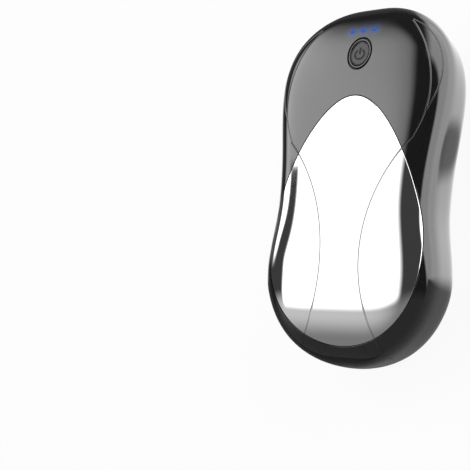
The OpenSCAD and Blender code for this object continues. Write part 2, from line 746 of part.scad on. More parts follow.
module inlet_shell() color("#b9bcc2") translate([inlet_x, port_y - port_recess, part_z + inlet_z])
    difference() {
        slot(inlet_w, inlet_h, -inlet_l, 0);
        slot(inlet_w - 2 * shell_t, inlet_h - 2 * shell_t, -inlet_l + shell_t, over);
    }

module inlet_tongue() color("#26262a") translate([inlet_x, port_y - port_recess, part_z + inlet_z]) {
    back = -inlet_l + shell_t + rest_gap;
    thinner = 2 * (shell_t + rest_gap);
    slot(inlet_w - thinner, inlet_h - thinner, back, back + inlet_back_t);
    block([-inlet_tongue_w / 2, back, -inlet_tongue_t / 2],
        [inlet_tongue_w / 2, back + inlet_back_t + inlet_tongue_l, inlet_tongue_t / 2]);
}

module power_coil() color("#4a4a4e") translate([coil_x, coil_y, part_z + board_top + rest_gap]) {
    cylinder(h = coil_core_h, d = coil_d);
    cylinder(h = coil_h, d = coil_core_d);
    translate([0, 0, coil_core_h]) cylinder(h = coil_h - 2 * coil_core_h, d = coil_d - coil_core_h);
    translate([0, 0, coil_h - coil_core_h]) cylinder(h = coil_core_h, d = coil_d);
}

module control_chips() color("#202024") for (x = [chip_left_x, chip_right_x])
    translate([x - chip_w / 2, chip_y - chip_w / 2, part_z + board_top + rest_gap])
        cube([chip_w, chip_w, chip_t]);

module smoothing_caps() color("#c4c6ca") for (i = [0, 1])
    translate([-cap_x, board_low + cap_on_board + i * cap_step, part_z + board_top + rest_gap])
        rotate_extrude() polygon([[0, 0], [cap_d / 2, 0], [cap_d / 2, cap_groove * 2],
            [cap_d / 2 - cap_groove, cap_groove * 3], [cap_d / 2, cap_groove * 4],
            [cap_d / 2, cap_h - cap_groove], [cap_d / 2 - cap_groove, cap_h], [0, cap_h]]);

// A cell that lies along Y, its raised cap towards the head
module cell() translate([0, cell_low, part_z]) rotate([-90, 0, 0]) rotate_extrude() polygon([[0, 0],
    [cell_d / 2 - crimp_d, 0], [cell_d / 2, crimp_d], [cell_d / 2, cell_l - crimp_y],
    [cell_d / 2 - crimp_d, cell_l - crimp_y + crimp_d], [cell_d / 2, cell_l - crimp_y + 2 * crimp_d],
    [cell_d / 2, cell_l - button_cap_h - crimp_d], [cell_d / 2 - crimp_d, cell_l - button_cap_h],
    [button_cap_d / 2, cell_l - button_cap_h], [button_cap_d / 2, cell_l], [0, cell_l]]);
module cell_left() color("#2f6fb0") translate([-cell_x, 0, 0]) cell();
module cell_right() color("#2f6fb0") translate([cell_x, 0, 0]) cell();

module cell_insulators() color("#e6e2d2") for (s = [-1, 1])
    translate([s * cell_x, cell_high - button_cap_h + rest_gap, part_z]) rotate([-90, 0, 0])
        ring(insulator_d, button_cap_d + 2 * rest_gap, insulator_t);

module cell_tabs() color("#c8cacf") translate([0, 0, part_z]) {
    tail_tab_y = cell_low - tab_t - rest_gap;
    for (y = [cell_high + rest_gap, tail_tab_y])
        block([-cell_x - tab_w / 2, y, -tab_w / 2], [cell_x + tab_w / 2, y + tab_t, tab_w / 2]);
    block([-lead_d, tail_tab_y, lead_low_z - lead_d], [lead_d, tail_tab_y + tab_t, 0]);
}

// A lead along Y that ends in a dot of solder
module lead(x, z, y0, dot_z) translate([x, 0, part_z]) {
    translate([0, lead_end_y, z]) rotate([90, 0, 0]) cylinder(h = lead_end_y - y0, d = lead_d);
    translate([0, lead_end_y, dot_z]) cylinder(h = solder_h, d = solder_d);
}
// One lead lies on the main board, the other runs under it, in the channel between the cells
module lead_positive() color("#c03028")
    lead(lead_x, board_top + lead_d / 2 + rest_gap, cell_high + tab_t + 2 * rest_gap, board_top + rest_gap);
module lead_negative() color("#202020")
    lead(0, lead_low_z, cell_low, board_top - board_t - rest_gap - solder_h);

front_cover();
back_cover();
heat_panel();
panel_tape();
heater_film();
foam_pad();
thermistor();
cover_screws();
button_ring();
power_button();
switch_body();
switch_plunger();
key_board();
key_board_screws();
light_guide();
indicator_lights();
board_link();
main_board();
main_board_screws();
output_shell();
output_tongue();
inlet_shell();
inlet_tongue();
power_coil();
control_chips();
smoothing_caps();
cell_left();
cell_right();
cell_insulators();
cell_tabs();
lead_positive();
lead_negative();
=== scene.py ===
import math
import bmesh
import bpy
from mathutils import Matrix, Vector


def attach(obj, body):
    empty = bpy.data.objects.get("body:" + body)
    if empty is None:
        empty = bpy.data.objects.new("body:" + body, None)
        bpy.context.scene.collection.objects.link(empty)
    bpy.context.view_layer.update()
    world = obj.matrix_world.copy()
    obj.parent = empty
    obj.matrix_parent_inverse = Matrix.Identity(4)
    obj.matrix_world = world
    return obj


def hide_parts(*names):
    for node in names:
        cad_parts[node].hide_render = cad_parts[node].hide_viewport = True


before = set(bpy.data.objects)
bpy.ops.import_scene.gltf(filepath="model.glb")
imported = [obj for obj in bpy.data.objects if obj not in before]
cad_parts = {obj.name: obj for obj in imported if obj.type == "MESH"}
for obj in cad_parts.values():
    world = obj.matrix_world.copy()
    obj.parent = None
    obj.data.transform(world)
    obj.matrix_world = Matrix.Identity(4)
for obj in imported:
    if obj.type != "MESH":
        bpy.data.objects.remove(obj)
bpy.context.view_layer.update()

# Front cover: the upper half shell, moulded in black polished plastic, hourglass in plan, with a
# seat for the heat panel, a bore for the button and three bores for the charge lights. Its walls are
# 2 mm thick, and it meets the back cover at the parting plane, where the body is widest.
MM = 0.001
PART_Z = 15.5
HALF_L = 54.0
HEAD_W, WAIST_W, TAIL_W = 58.8, 48.2, 55.2
HEAD_Y, WAIST_Y, TAIL_Y = 47.0, -7.0, -35.0
FRONT_H, BACK_H, TAPER, WALL = 15.4, 16.0, 1.5, 2.0
FRONT_POWER, BACK_POWER, BACK_END_POWER = 4.8, 3.1, 2.6
HEAD_POWER, TAIL_POWER, PLAN_POWER = 3.2, 2.6, 4
PANEL_TOP, PANEL_LOW, TIP_R, FOOT_R = 23.0, -48.6, 7.0, 23.0
PANEL_GAP, SEAT_DEPTH, LEDGE = 0.12, 1.0, 5.0
EDGE_ROUND = 0.14
RAYS, RAY_Y, RAY_FAR, HALVINGS = 360, -16.0, 80.0, 46
WELD, FINE_WELD = 2e-7, 1e-7
SHARP = 32
BENDS = [(1 - math.cos(math.radians(turn)), math.sin(math.radians(turn))) for turn in (30, 60, 90)]


def ease(k):
    return (1 - math.cos(math.pi * max(0.0, min(1.0, k)))) / 2


def round_off(share, p, q):
    return max(0.0, 1 - min(1.0, abs(share)) ** p) ** (1 / q)


def half_w(y, inset=0.0):
    if y > WAIST_Y:
        lobe = WAIST_W + (HEAD_W - WAIST_W) * ease((y - WAIST_Y) / (HEAD_Y - WAIST_Y))
    else:
        lobe = WAIST_W + (TAIL_W - WAIST_W) * ease((WAIST_Y - y) / (WAIST_Y - TAIL_Y))
    return (lobe / 2 - inset) * round_off(y / (HALF_L - inset), PLAN_POWER, 2)


def front_z(y, inset=0.0):
    p = HEAD_POWER if y > 0 else TAIL_POWER
    return (FRONT_H - TAPER * y / HALF_L - inset) * round_off(y / (HALF_L - inset), p, p)


def back_z(y, inset=0.0):
    p = BACK_END_POWER
    return (BACK_H - TAPER * y / HALF_L - inset) * round_off(y / (HALF_L - inset), p, p)


def front_at(x, y, inset=0.0):
    w = half_w(y, inset)
    return front_z(y, inset) * round_off(x / w, FRONT_POWER, FRONT_POWER) if w > 1e-9 else 0.0


def back_at(x, y, inset=0.0):
    w = half_w(y, inset)
    return -back_z(y, inset) * round_off(x / w, BACK_POWER, BACK_POWER) if w > 1e-9 else 0.0


def tear_half(y, inset=0.0):
    length = PANEL_TOP - PANEL_LOW - 2 * inset
    k = (PANEL_TOP - inset - y) / length
    if k <= 0 or k >= 1:
        return 0.0
    root = math.sqrt(TIP_R - inset) * (1 - k) + math.sqrt(FOOT_R - inset) * k
    return math.sqrt(2 * length * k * (1 - k)) * root


def reach(turn, inside):
    """How far a ray from the panel's middle runs at an angle before it leaves an outline."""
    near, far = 0.0, RAY_FAR
    for _ in range(HALVINGS):
        mid = (near + far) / 2
        if inside(mid * math.cos(turn), RAY_Y + mid * math.sin(turn)):
            near = mid
        else:
            far = mid
    return near


def outline(inset):
    """Distances of the body's plan outline, drawn in by an inset, along all the rays."""
    def inside(x, y):
        return abs(y) < HALF_L - inset and abs(x) < half_w(y, inset)
    return [reach(2 * math.pi * i / RAYS, inside) for i in range(RAYS)]


def tear_outline(inset):
    """Distances of the teardrop outline, drawn in by an inset, along all the rays."""
    return [reach(2 * math.pi * i / RAYS, lambda x, y: abs(x) < tear_half(y, inset)) for i in range(RAYS)]


def on_ray(i, s):
    turn = 2 * math.pi * i / RAYS
    return s * math.cos(turn), RAY_Y + s * math.sin(turn)


def rounder(rim, start, steps, power=FRONT_POWER):
    """Distances from the rim in to a start, close together where the side wall turns over."""
    last = math.acos(min(1.0, start / rim) ** (power / 2))
    return [rim * math.cos(last * j / steps) ** (2 / power) for j in range(steps + 1)]


def ring_mesh(name, rings, closed):
    """A skin of rings round the rays, from a grid whose points move to their places on the rings.
    closed joins the last ring to the first, as on a shell with a hole."""
    rows = rings + rings[:1] if closed else rings
    bm = bmesh.new()
    bmesh.ops.create_grid(bm, x_segments=RAYS, y_segments=len(rows) - 1, size=1)
    for v in bm.verts:
        i = round((v.co.x + 1) / 2 * RAYS) % RAYS
        j = round((v.co.y + 1) / 2 * (len(rows) - 1))
        x, y, z = rows[j][i]
        v.co = Vector((x, y, z + PART_Z)) * MM
    bmesh.ops.remove_doubles(bm, verts=bm.verts, dist=WELD)
    loose = [e for e in bm.edges if not e.link_faces]
    bmesh.ops.delete(bm, geom=loose, context="EDGES")
    bmesh.ops.recalc_face_normals(bm, faces=bm.faces)
    return finish_mesh(name, bm)


def finish_mesh(name, bm, sharp=SHARP):
    mesh = bpy.data.meshes.new(name)
    bm.to_mesh(mesh)
    bm.free()
    mesh.shade_smooth()
    mesh.set_sharp_from_angle(angle=math.radians(sharp))
    piece = bpy.data.objects.new(name, mesh)
    bpy.context.scene.collection.objects.link(piece)
    return piece


def carve(piece, tool, how="DIFFERENCE", overlaps=False):
    """Cuts, joins or trims a piece with a tool, which is then thrown away."""
    step = piece.modifiers.new(how.lower(), "BOOLEAN")
    step.operation, step.object, step.solver, step.use_self = how, tool, "EXACT", overlaps
    bpy.context.view_layer.update()
    result = bpy.data.meshes.new_from_object(piece.evaluated_get(bpy.context.evaluated_depsgraph_get()))
    piece.modifiers.clear()
    old, piece.data = piece.data, result
    bpy.data.meshes.remove(old)
    bpy.data.objects.remove(tool)
    result.materials.clear()
    result.shade_smooth()
    result.set_sharp_from_angle(angle=math.radians(SHARP))


RIM, INNER_RIM = outline(0.0), outline(WALL)
seat_edge = tear_outline(-PANEL_GAP)
seat_brow = tear_outline(-PANEL_GAP - EDGE_ROUND)
ledge_edge = tear_outline(LEDGE)


def surface_ring(distances, drop=0.0, inset=0.0, surface=front_at):
    ring = []
    for i in range(RAYS):
        x, y = on_ray(i, distances[i])
        ring.append((x, y, surface(x, y, inset) - drop))
    return ring


def level_ring(distances, z):
    return [(*on_ray(i, distances[i]), z) for i in range(RAYS)]


def dome_rings(rim, steps, inset, surface, power):
    """Rings from a rim at the parting plane over a whole half of the body, to its middle."""
    fans = [rounder(r, 0.0, steps, power) for r in rim]
    domed = [surface_ring([fan[j] for fan in fans], 0, inset, surface) for j in range(1, steps + 1)]
    return [level_ring(rim, 0)] + domed


def front_shell_rings():
    outer_steps, inner_steps = 54, 26
    fans = [rounder(RIM[i], seat_brow[i], outer_steps) for i in range(RAYS)]
    rings = [surface_ring([fan[j] for fan in fans]) for j in range(outer_steps + 1)]
    rings[0] = level_ring(RIM, 0)
    for down, out in BENDS:
        bend = [b + (e - b) * out for b, e in zip(seat_brow, seat_edge)]
        rings.append(surface_ring(bend, EDGE_ROUND * down))
    rings.append(surface_ring(seat_edge, SEAT_DEPTH))
    for k in (0.25, 0.5, 0.75, 1):
        rings.append(surface_ring([a + (b - a) * k for a, b in zip(seat_edge, ledge_edge)], SEAT_DEPTH))
    fans = [rounder(INNER_RIM[i], ledge_edge[i], inner_steps) for i in range(RAYS)]
    rings += [surface_ring([fan[j] for fan in fans], 0, WALL) for j in range(inner_steps, 0, -1)]
    rings.append(level_ring(INNER_RIM, 0))
    return rings


front_cover = ring_mesh("front_cover_skin", front_shell_rings(), closed=True)
PART_GAP, OVERRUN, RUN_IN, POST_REACH, POST_INSET = 0.02, 2, 1, 16, 1.2
PORT_Y, PORT_WALL, PORT_FLOOR = 51.2, 2.6, 0.2
BLOCK_X, BLOCK_H, POCKET_W, POCKET_H = 14.5, 5.5, 26, 7.6
OUTPUT_LEFT, OUTPUT_RIGHT, OUTPUT_HALF = -12.1, 1.3, 3
INLET_X, INLET_Z, INLET_W, INLET_H = 7.6, -1.2, 9.2, 3.6
SCREW_X, SCREW_Y, POST_R, SCREW_R = 6, -44.8, 2.3, 1.05
SCREW_HEAD_R, SCREW_SEAT, SCREW_TOP = 2.1, 7.4, 15
PEG_X, PEG_Y, PEG_POST_R, PEG_GAP = 21.3, 29, 2.7, 0.05


def at(x, y, z):
    return Matrix.Translation(Vector((x, y, z + PART_Z)) * MM)


def add_block(bm, low, high):
    size = [h - l for l, h in zip(low, high)]
    middle = [(h + l) / 2 for l, h in zip(low, high)]
    place = at(*middle) @ Matrix.Diagonal((size[0] * MM, size[1] * MM, size[2] * MM, 1))
    bmesh.ops.create_cube(bm, size=1, matrix=place)


def add_rod(bm, place, radius, low, high, sides=48, tall=1.0):
    """A rod along the place's own Z, from one height to another; tall makes it an oval along Y."""
    middle = place @ Matrix.Translation((0, 0, (low + high) / 2 * MM)) @ Matrix.Diagonal((1, tall, 1, 1))
    bmesh.ops.create_cone(bm, cap_ends=True, segments=sides, radius1=radius * MM, radius2=radius * MM,
                          depth=(high - low) * MM, matrix=middle)


def add_slot(bm, x, z, width, height, y0, y1):
    """A bar with round ends across X, from one place along Y to another."""
    made = bmesh.ops.create_circle(bm, cap_ends=True, segments=64, radius=height / 2 * MM)
    for v in made["verts"]:
        v.co.x += math.copysign((width - height) / 2 * MM, v.co.x) if abs(v.co.x) > 1e-7 else 0
    face = made["verts"][0].link_faces[0]
    bmesh.ops.transform(bm, verts=made["verts"], matrix=at(x, y0, z) @ Matrix.Rotation(math.pi / 2, 4, "X"))
    grown = bmesh.ops.extrude_face_region(bm, geom=[face], use_keep_orig=True)
    side = [g for g in grown["geom"] if isinstance(g, bmesh.types.BMVert)]
    bmesh.ops.translate(bm, verts=side, vec=Vector((0, (y1 - y0) * MM, 0)))


def tool(name, build):
    bm = bmesh.new()
    build(bm)
    bmesh.ops.recalc_face_normals(bm, faces=bm.faces)
    return finish_mesh(name, bm)


def half_solid(name, side, inset):
    """One closed half of the body, drawn in by an inset; it trims what stands inside a cover."""
    surface, power = (front_at, FRONT_POWER) if side > 0 else (back_at, BACK_POWER)
    flat = level_ring([0.0] * RAYS, 0)
    return ring_mesh(name, [flat] + dome_rings(outline(inset), 20, inset, surface, power), closed=False)


# Frame of the button: on the head's front, square to it. The button and its ring are ovals.
BUTTON_Y, BUTTON_D, RING_D, OVAL, OVAL_SIDES = 36.4, 5.8, 7.6, 1.42, 96
BOSS_R, BOSS_DEPTH, BOSS_RISE = 4.85, 3, 1
probe = BUTTON_D / 4
TILT = math.atan((front_z(BUTTON_Y - probe) - front_z(BUTTON_Y + probe)) / (2 * probe))
AT_BUTTON = at(0, BUTTON_Y, front_z(BUTTON_Y)) @ Matrix.Rotation(-TILT, 4, "X")
LIGHT_Y, LIGHT_STEP, LIGHT_D, LIGHT_SIDES, FIT = 44.0, 3.5, 1.3, 32, 0.07
in_button_frame = AT_BUTTON.inverted() @ Vector((0, LIGHT_Y * MM, (front_z(LIGHT_Y) + PART_Z) * MM))
LIGHT_ROW, LIGHT_RISE = in_button_frame.y / MM, in_button_frame.z / MM
KEY_TOP = 7.1


def front_posts(bm):
    add_block(bm, (-BLOCK_X, PORT_Y - PORT_WALL, PART_GAP), (BLOCK_X, HALF_L, BLOCK_H))
    for side in (-1, 1):
        add_rod(bm, at(side * SCREW_X, SCREW_Y, 0), POST_R, PART_GAP, POST_REACH)
        add_rod(bm, at(side * PEG_X, PEG_Y, 0), PEG_POST_R, PEG_GAP, POST_REACH)
    add_rod(bm, AT_BUTTON, BOSS_R, -BOSS_DEPTH, BOSS_RISE, OVAL_SIDES, OVAL)


def front_bores(bm):
    add_slot(bm, 0, 0, POCKET_W, POCKET_H, PORT_Y, HALF_L + OVERRUN)
    add_rod(bm, AT_BUTTON, RING_D / 2 + FIT, -KEY_TOP, OVERRUN, OVAL_SIDES, OVAL)
    for i in (-1, 0, 1):
        lamp = AT_BUTTON @ Matrix.Translation((i * LIGHT_STEP * MM, LIGHT_ROW * MM, 0))
        add_rod(bm, lamp, LIGHT_D / 2 + FIT, -KEY_TOP, OVERRUN, LIGHT_SIDES)
    for side in (-1, 1):
        screw = at(side * SCREW_X, SCREW_Y, 0)
        add_rod(bm, screw, SCREW_HEAD_R, SCREW_SEAT, SCREW_TOP)
        add_rod(bm, screw, SCREW_R, -RUN_IN, SCREW_SEAT)


def socket_holes(bm):
    back, front = PORT_Y - PORT_WALL - RUN_IN, PORT_Y + PORT_FLOOR
    add_block(bm, (OUTPUT_LEFT, back, -OUTPUT_HALF), (OUTPUT_RIGHT, front, OUTPUT_HALF))
    add_slot(bm, INLET_X, INLET_Z, INLET_W, INLET_H, back, front)


posts = tool("front_posts", front_posts)
carve(posts, half_solid("front_core", 1, POST_INSET), "INTERSECT")
carve(front_cover, posts, "UNION")
carve(front_cover, tool("front_bores", front_bores), overlaps=True)
carve(front_cover, tool("front_sockets", socket_holes))

# The creases of the front, in plan: a long arc on each side, which opens into a crescent's two edges.
# They are cut as grooves, and faces thinner than a sliver that the cuts leave are merged.
GRIP_R, GRIP_X, GRIP_Y, GRIP_END = 51.5, 5.9, -24.4, -50.65
INNER_X, INNER_Y, INNER_UP_R, INNER_DOWN_R = 22.3, 24.0, 35.0, 29.5
OUTER_X, OUTER_Y, OUTER_UP_R, OUTER_DOWN_R = 24.75, 29.5, 19.0, 25.0
CROSS_Y, MEET_Y, CRESCENT_TOP = 10.0, 17.0, 46.4
GROOVE_R, GROOVE_LIFT, GROOVE_SIDES, GROOVE_STEPS = 0.3, 0.13, 12, 150
SLIVER = 2e-6
SKIN_DEPTH, SKIN_LEAN, END_FACES, END_CORNERS, PROBE = 0.06, math.radians(14), 0.6, 0.3, 0.01


def grip_line(share):
    y = GRIP_END + (CROSS_Y - GRIP_END) * share * share
    return GRIP_X + GRIP_R - math.sqrt(GRIP_R ** 2 - (y - GRIP_Y) ** 2), y


def crescent_line(share, low, x, y, up_r, down_r):
    """A place along one edge of a crescent, which bends by one radius above y and another below."""
    here = low + (CRESCENT_TOP - low) * share
    r = up_r if here > y else down_r
    return x - r + math.sqrt(r * r - (here - y) ** 2), here


def inner_line(share):
    return crescent_line(share, CROSS_Y, INNER_X, INNER_Y, INNER_UP_R, INNER_DOWN_R)


def outer_line(share):
    return crescent_line(share, MEET_Y, OUTER_X, OUTER_Y, OUTER_UP_R, OUTER_DOWN_R)


def front_facing(x, y, z):
    """The direction that the front faces near a point, and how far the point lies under it."""
    def level(x, y, z):
        return (abs(x) / half_w(y)) ** FRONT_POWER + (max(z, 0.0) / front_z(y)) ** FRONT_POWER
    slope = Vector((level(x + PROBE, y, z) - level(x - PROBE, y, z),
                    level(x, y + PROBE, z) - level(x, y - PROBE, z),
                    level(x, y, z + PROBE) - level(x, y, z - PROBE))) / (2 * PROBE)
    return slope.normalized(), (1 - level(x, y, z)) / slope.length


def groove_tool(name, lines, radius, lift):
    """Round bars that lie along lines on both sides of the front, lifted so that they cut grooves."""
    bit = 0.002
    bm = bmesh.new()
    for line in lines:
        for side in (-1, 1):
            made = bmesh.ops.create_grid(bm, x_segments=GROOVE_STEPS, y_segments=GROOVE_SIDES, size=1)
            spots = []
            for i in range(GROOVE_STEPS + 1):
                share = i / GROOVE_STEPS
                places = [line(s) for s in (max(0, share - bit), share, min(1, share + bit))]
                near, here, ahead = [Vector((side * x, y, front_at(x, y))) for x, y in places]
                out = front_facing(*here)[0]
                across = (ahead - near).cross(out).normalized()
                spots.append((here + out * lift, out, across))
            for v in made["verts"]:
                middle, out, across = spots[round((v.co.x + 1) / 2 * GROOVE_STEPS)]
                turn = math.pi * (v.co.y + 1)
                spot = middle + (out * math.cos(turn) + across * math.sin(turn)) * radius
                v.co = Vector((spot.x, spot.y, spot.z + PART_Z)) * MM
    bmesh.ops.remove_doubles(bm, verts=bm.verts, dist=FINE_WELD)
    bmesh.ops.holes_fill(bm, edges=[e for e in bm.edges if e.is_boundary], sides=0)
    bmesh.ops.recalc_face_normals(bm, faces=bm.faces)
    return finish_mesh(name, bm)


def drop_slivers(piece):
    """Merges the faces that the cuts leave thinner than a sliver."""
    bm = bmesh.new()
    bm.from_mesh(piece.data)
    bmesh.ops.dissolve_degenerate(bm, dist=SLIVER, edges=bm.edges)
    bm.to_mesh(piece.data)
    bm.free()


def true_facing(piece):
    """Gives the faces that lie on the front's surface the facing of its formula, without facets."""
    mesh = piece.data
    facings = [Vector(corner.vector) for corner in mesh.corner_normals]
    for face in mesh.polygons:
        x, y, z = face.center / MM
        if abs(y) > HALF_L - END_FACES or z < PART_Z:
            continue
        out, under = front_facing(x, y, z - PART_Z)
        if abs(under) > SKIN_DEPTH or out.angle(face.normal) > SKIN_LEAN:
            continue
        for corner in face.loop_indices:
            x, y, z = mesh.vertices[mesh.loops[corner].vertex_index].co / MM
            if abs(y) < HALF_L - END_CORNERS:
                facings[corner] = front_facing(x, y, z - PART_Z)[0]
    mesh.normals_split_custom_set(facings)


cover_grooves = groove_tool("cover_grooves", (grip_line, inner_line, outer_line), GROOVE_R, GROOVE_LIFT)
carve(front_cover, cover_grooves, overlaps=True)
drop_slivers(front_cover)
true_facing(front_cover)


class Value:
    """A number that flows through a finish; arithmetic on it adds Math nodes."""

    def __init__(self, finish, socket):
        self.finish, self.socket = finish, socket

    def __add__(self, other):
        return self.finish.math("ADD", self, other)

    def __radd__(self, other):
        return self.finish.math("ADD", other, self)

    def __sub__(self, other):
        return self.finish.math("SUBTRACT", self, other)

    def __rsub__(self, other):
        return self.finish.math("SUBTRACT", other, self)

    def __mul__(self, other):
        return self.finish.math("MULTIPLY", self, other)

    def __rmul__(self, other):
        return self.finish.math("MULTIPLY", other, self)

    def __truediv__(self, other):
        return self.finish.math("DIVIDE", self, other)

    def __rtruediv__(self, other):
        return self.finish.math("DIVIDE", other, self)

    def __abs__(self):
        return self.finish.math("ABSOLUTE", self)

    def __lt__(self, other):
        return self.finish.math("LESS_THAN", self, other)

    def __gt__(self, other):
        return self.finish.math("GREATER_THAN", self, other)

    def root(self):
        return self.finish.math("SQRT", self)

    def least(self, other):
        return self.finish.math("MINIMUM", self, other)

    def most(self, other):
        return self.finish.math("MAXIMUM", self, other)


class Nodes:
    """Adds nodes to a node tree, and hands their outputs on as values."""

    def __init__(self, tree):
        self.tree = tree

    def feed(self, socket, item):
        if isinstance(item, Value):
            self.tree.links.new(item.socket, socket)
        else:
            socket.default_value = item

    def node(self, kind, settings, inputs, output=0):
        made = self.tree.nodes.new("ShaderNode" + kind)
        for label, choice in settings.items():
            setattr(made, label, choice)
        for label, item in inputs.items():
            self.feed(made.inputs[label], item)
        return Value(self, made.outputs[output])

    def math(self, operation, *items):
        return self.node("Math", {"operation": operation}, dict(enumerate(items)))

    def parts(self, vector):
        split = self.node("SeparateXYZ", {}, {"Vector": vector})
        outs = split.socket.node.outputs
        return [Value(self, outs[i]) for i in range(3)]

    def ramp(self, value, low, high, first=0.0, last=1.0):
        """A soft step from one number to another while a value goes from low to high."""
        inputs = {"Value": value, "From Min": low, "From Max": high, "To Min": first, "To Max": last}
        return self.node("MapRange", {"interpolation_type": "SMOOTHSTEP"}, inputs)

    def mix(self, share, first, second):
        """A colour between two others."""
        return self.node("Mix", {"data_type": "RGBA"}, {0: share, 6: (*first, 1), 7: (*second, 1)}, 2)

    def ray(self, *kinds):
        """1 for the named kinds of rays and 0 for all others."""
        total = self.node("LightPath", {}, {}, kinds[0])
        for kind in kinds[1:]:
            total = total.most(self.node("LightPath", {}, {}, kind))
        return total


class Finish(Nodes):
    """One procedural material: its shader, and the nodes that vary it over the surface."""

    def __init__(self, name, **constants):
        self.material = bpy.data.materials.new(name)
        self.material.use_nodes = True
        super().__init__(self.material.node_tree)
        self.shader = self.tree.nodes["Principled BSDF"]
        for label, number in constants.items():
            self.shader.inputs[label.replace("_", " ")].default_value = number

    def shade(self, **inputs):
        for label, item in inputs.items():
            self.feed(self.shader.inputs[label.replace("_", " ")], item)

    def place(self, turn=(0, 0, 0), middle=(0, 0, 0)):
        """Object coordinates in millimetres, about a middle and turned, as one vector."""
        coords = self.node("TexCoord", {}, {}, "Object")
        moved = self.node("Mapping", {"vector_type": "TEXTURE"},
                          {"Vector": coords, "Location": middle, "Rotation": turn})
        return self.node("VectorMath", {"operation": "SCALE"}, {"Vector": moved, "Scale": 1 / MM})

    def noise(self, vector, size, detail):
        """A soft noise from 0 to 1 whose patches are about one size, in millimetres."""
        return self.node("TexNoise", {}, {"Vector": vector, "Scale": 1 / size, "Detail": detail})

    def relief(self, height, depth):
        """Bends the surface by a height from 0 to 1 that stands for a depth in millimetres."""
        bump = {"Height": height, "Distance": depth * MM, "Strength": 1.0}
        self.shade(Normal=self.node("Bump", {}, bump))

    def blend(self, share, first, second):
        """Shows a mix of two shaders in place of the material's own."""
        mixed = self.node("MixShader", {}, {0: share, 1: first, 2: second})
        self.feed(self.tree.nodes["Material Output"].inputs["Surface"], mixed)

    def on(self, *pieces):
        for piece in pieces:
            piece.data.materials.clear()
            piece.data.materials.append(self.material)


BLACK, SOOT = (0.006, 0.006, 0.0065), (0.011, 0.011, 0.012)
BLUE_GLOW, GLOW_NEAR, GLOW_FAR = (0.02, 0.09, 0.42), 0.3, 3.4


def moulded_black(name, **constants):
    """Polished black plastic, with the point on it in millimetres, its soft patches and its sheen."""
    finish = Finish(name, IOR=1.5, Coat_Weight=1.0, Coat_Roughness=0.02, Coat_IOR=1.55, **constants)
    point = finish.place()
    clouds, fine = finish.noise(point, 9.0, 3.0), finish.noise(point, 0.9, 4.0)
    finish.relief(fine, 0.0004)
    return finish, point, clouds, finish.ramp(clouds * 0.7 + fine * 0.3, 0.35, 0.75, 0.045, 0.085)


gloss_black, point, clouds, sheen = moulded_black("gloss_black_front", Emission_Strength=0.25)
px, py, _ = gloss_black.parts(point)
# Painted light: the cover's own blue emission round the three light windows is a painted glow that stands
# for the charge lights' light falling on it.
glow = 0
for i in (-1, 0, 1):
    lamp_x = px - i * LIGHT_STEP
    lamp_y = (py - LIGHT_Y) * 1.05
    away = (lamp_x * lamp_x + lamp_y * lamp_y).root()
    glow = glow + gloss_black.ramp(away, GLOW_NEAR, GLOW_FAR, 1.0, 0.0)
gloss_black.shade(Base_Color=gloss_black.mix(clouds, BLACK, SOOT), Roughness=sheen,
                  Emission_Color=gloss_black.mix(glow.least(1.0), (0, 0, 0), BLUE_GLOW))
gloss_black.on(front_cover)
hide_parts("front_cover")
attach(front_cover, "housing")

# Back cover: the lower half shell, moulded in the same black plastic, with a flat back that the part
# rests on. It carries the cells on ribs, and takes the two screws that hold the front cover on it.
CELL_D, CELL_L, CELL_X, CELL_LOW = 18.4, 65.0, 9.35, -41.0
CELL_FIT, CELL_SIDES = 0.05, 96
RIB_SHARES, RIB_X, RIB_HALF_T, RIB_TOP = (0.17, 0.5, 0.83), 17, 0.9, -3
BOARD_TOP, BOARD_AND_GAP, BOARD_X, BOARD_Y = -2.85, 1.25, 15, 30.6
SCREW_DEPTH, PEG_HOLE_R, PEG_DEPTH = 4.7, 1.55, 5.05


def back_posts(bm):
    add_block(bm, (-BLOCK_X, PORT_Y - PORT_WALL, -BLOCK_H), (BLOCK_X, HALF_L, -PART_GAP))
    for side in (-1, 1):
        add_rod(bm, at(side * SCREW_X, SCREW_Y, 0), POST_R, -POST_REACH, -PART_GAP)
        add_rod(bm, at(side * PEG_X, PEG_Y, 0), PEG_POST_R, -POST_REACH, -PART_GAP)
        add_rod(bm, at(side * BOARD_X, BOARD_Y, 0), POST_R, -POST_REACH, BOARD_TOP - BOARD_AND_GAP)
    for share in RIB_SHARES:
        y = CELL_LOW + share * CELL_L
        add_block(bm, (-RIB_X, y - RIB_HALF_T, -POST_REACH), (RIB_X, y + RIB_HALF_T, RIB_TOP))


def cell_beds(bm):
    for side in (-1, 1):
        lie = at(side * CELL_X, CELL_LOW, 0) @ Matrix.Rotation(-math.pi / 2, 4, "X")
        add_rod(bm, lie, CELL_D / 2 + CELL_FIT, -RUN_IN, CELL_L + RUN_IN, CELL_SIDES)


def back_bores(bm):
    add_slot(bm, 0, 0, POCKET_W, POCKET_H, PORT_Y, HALF_L + OVERRUN)
    for side in (-1, 1):
        add_rod(bm, at(side * SCREW_X, SCREW_Y, 0), SCREW_R, -SCREW_DEPTH, RUN_IN)
        add_rod(bm, at(side * PEG_X, PEG_Y, 0), PEG_HOLE_R, -PEG_DEPTH, RUN_IN)


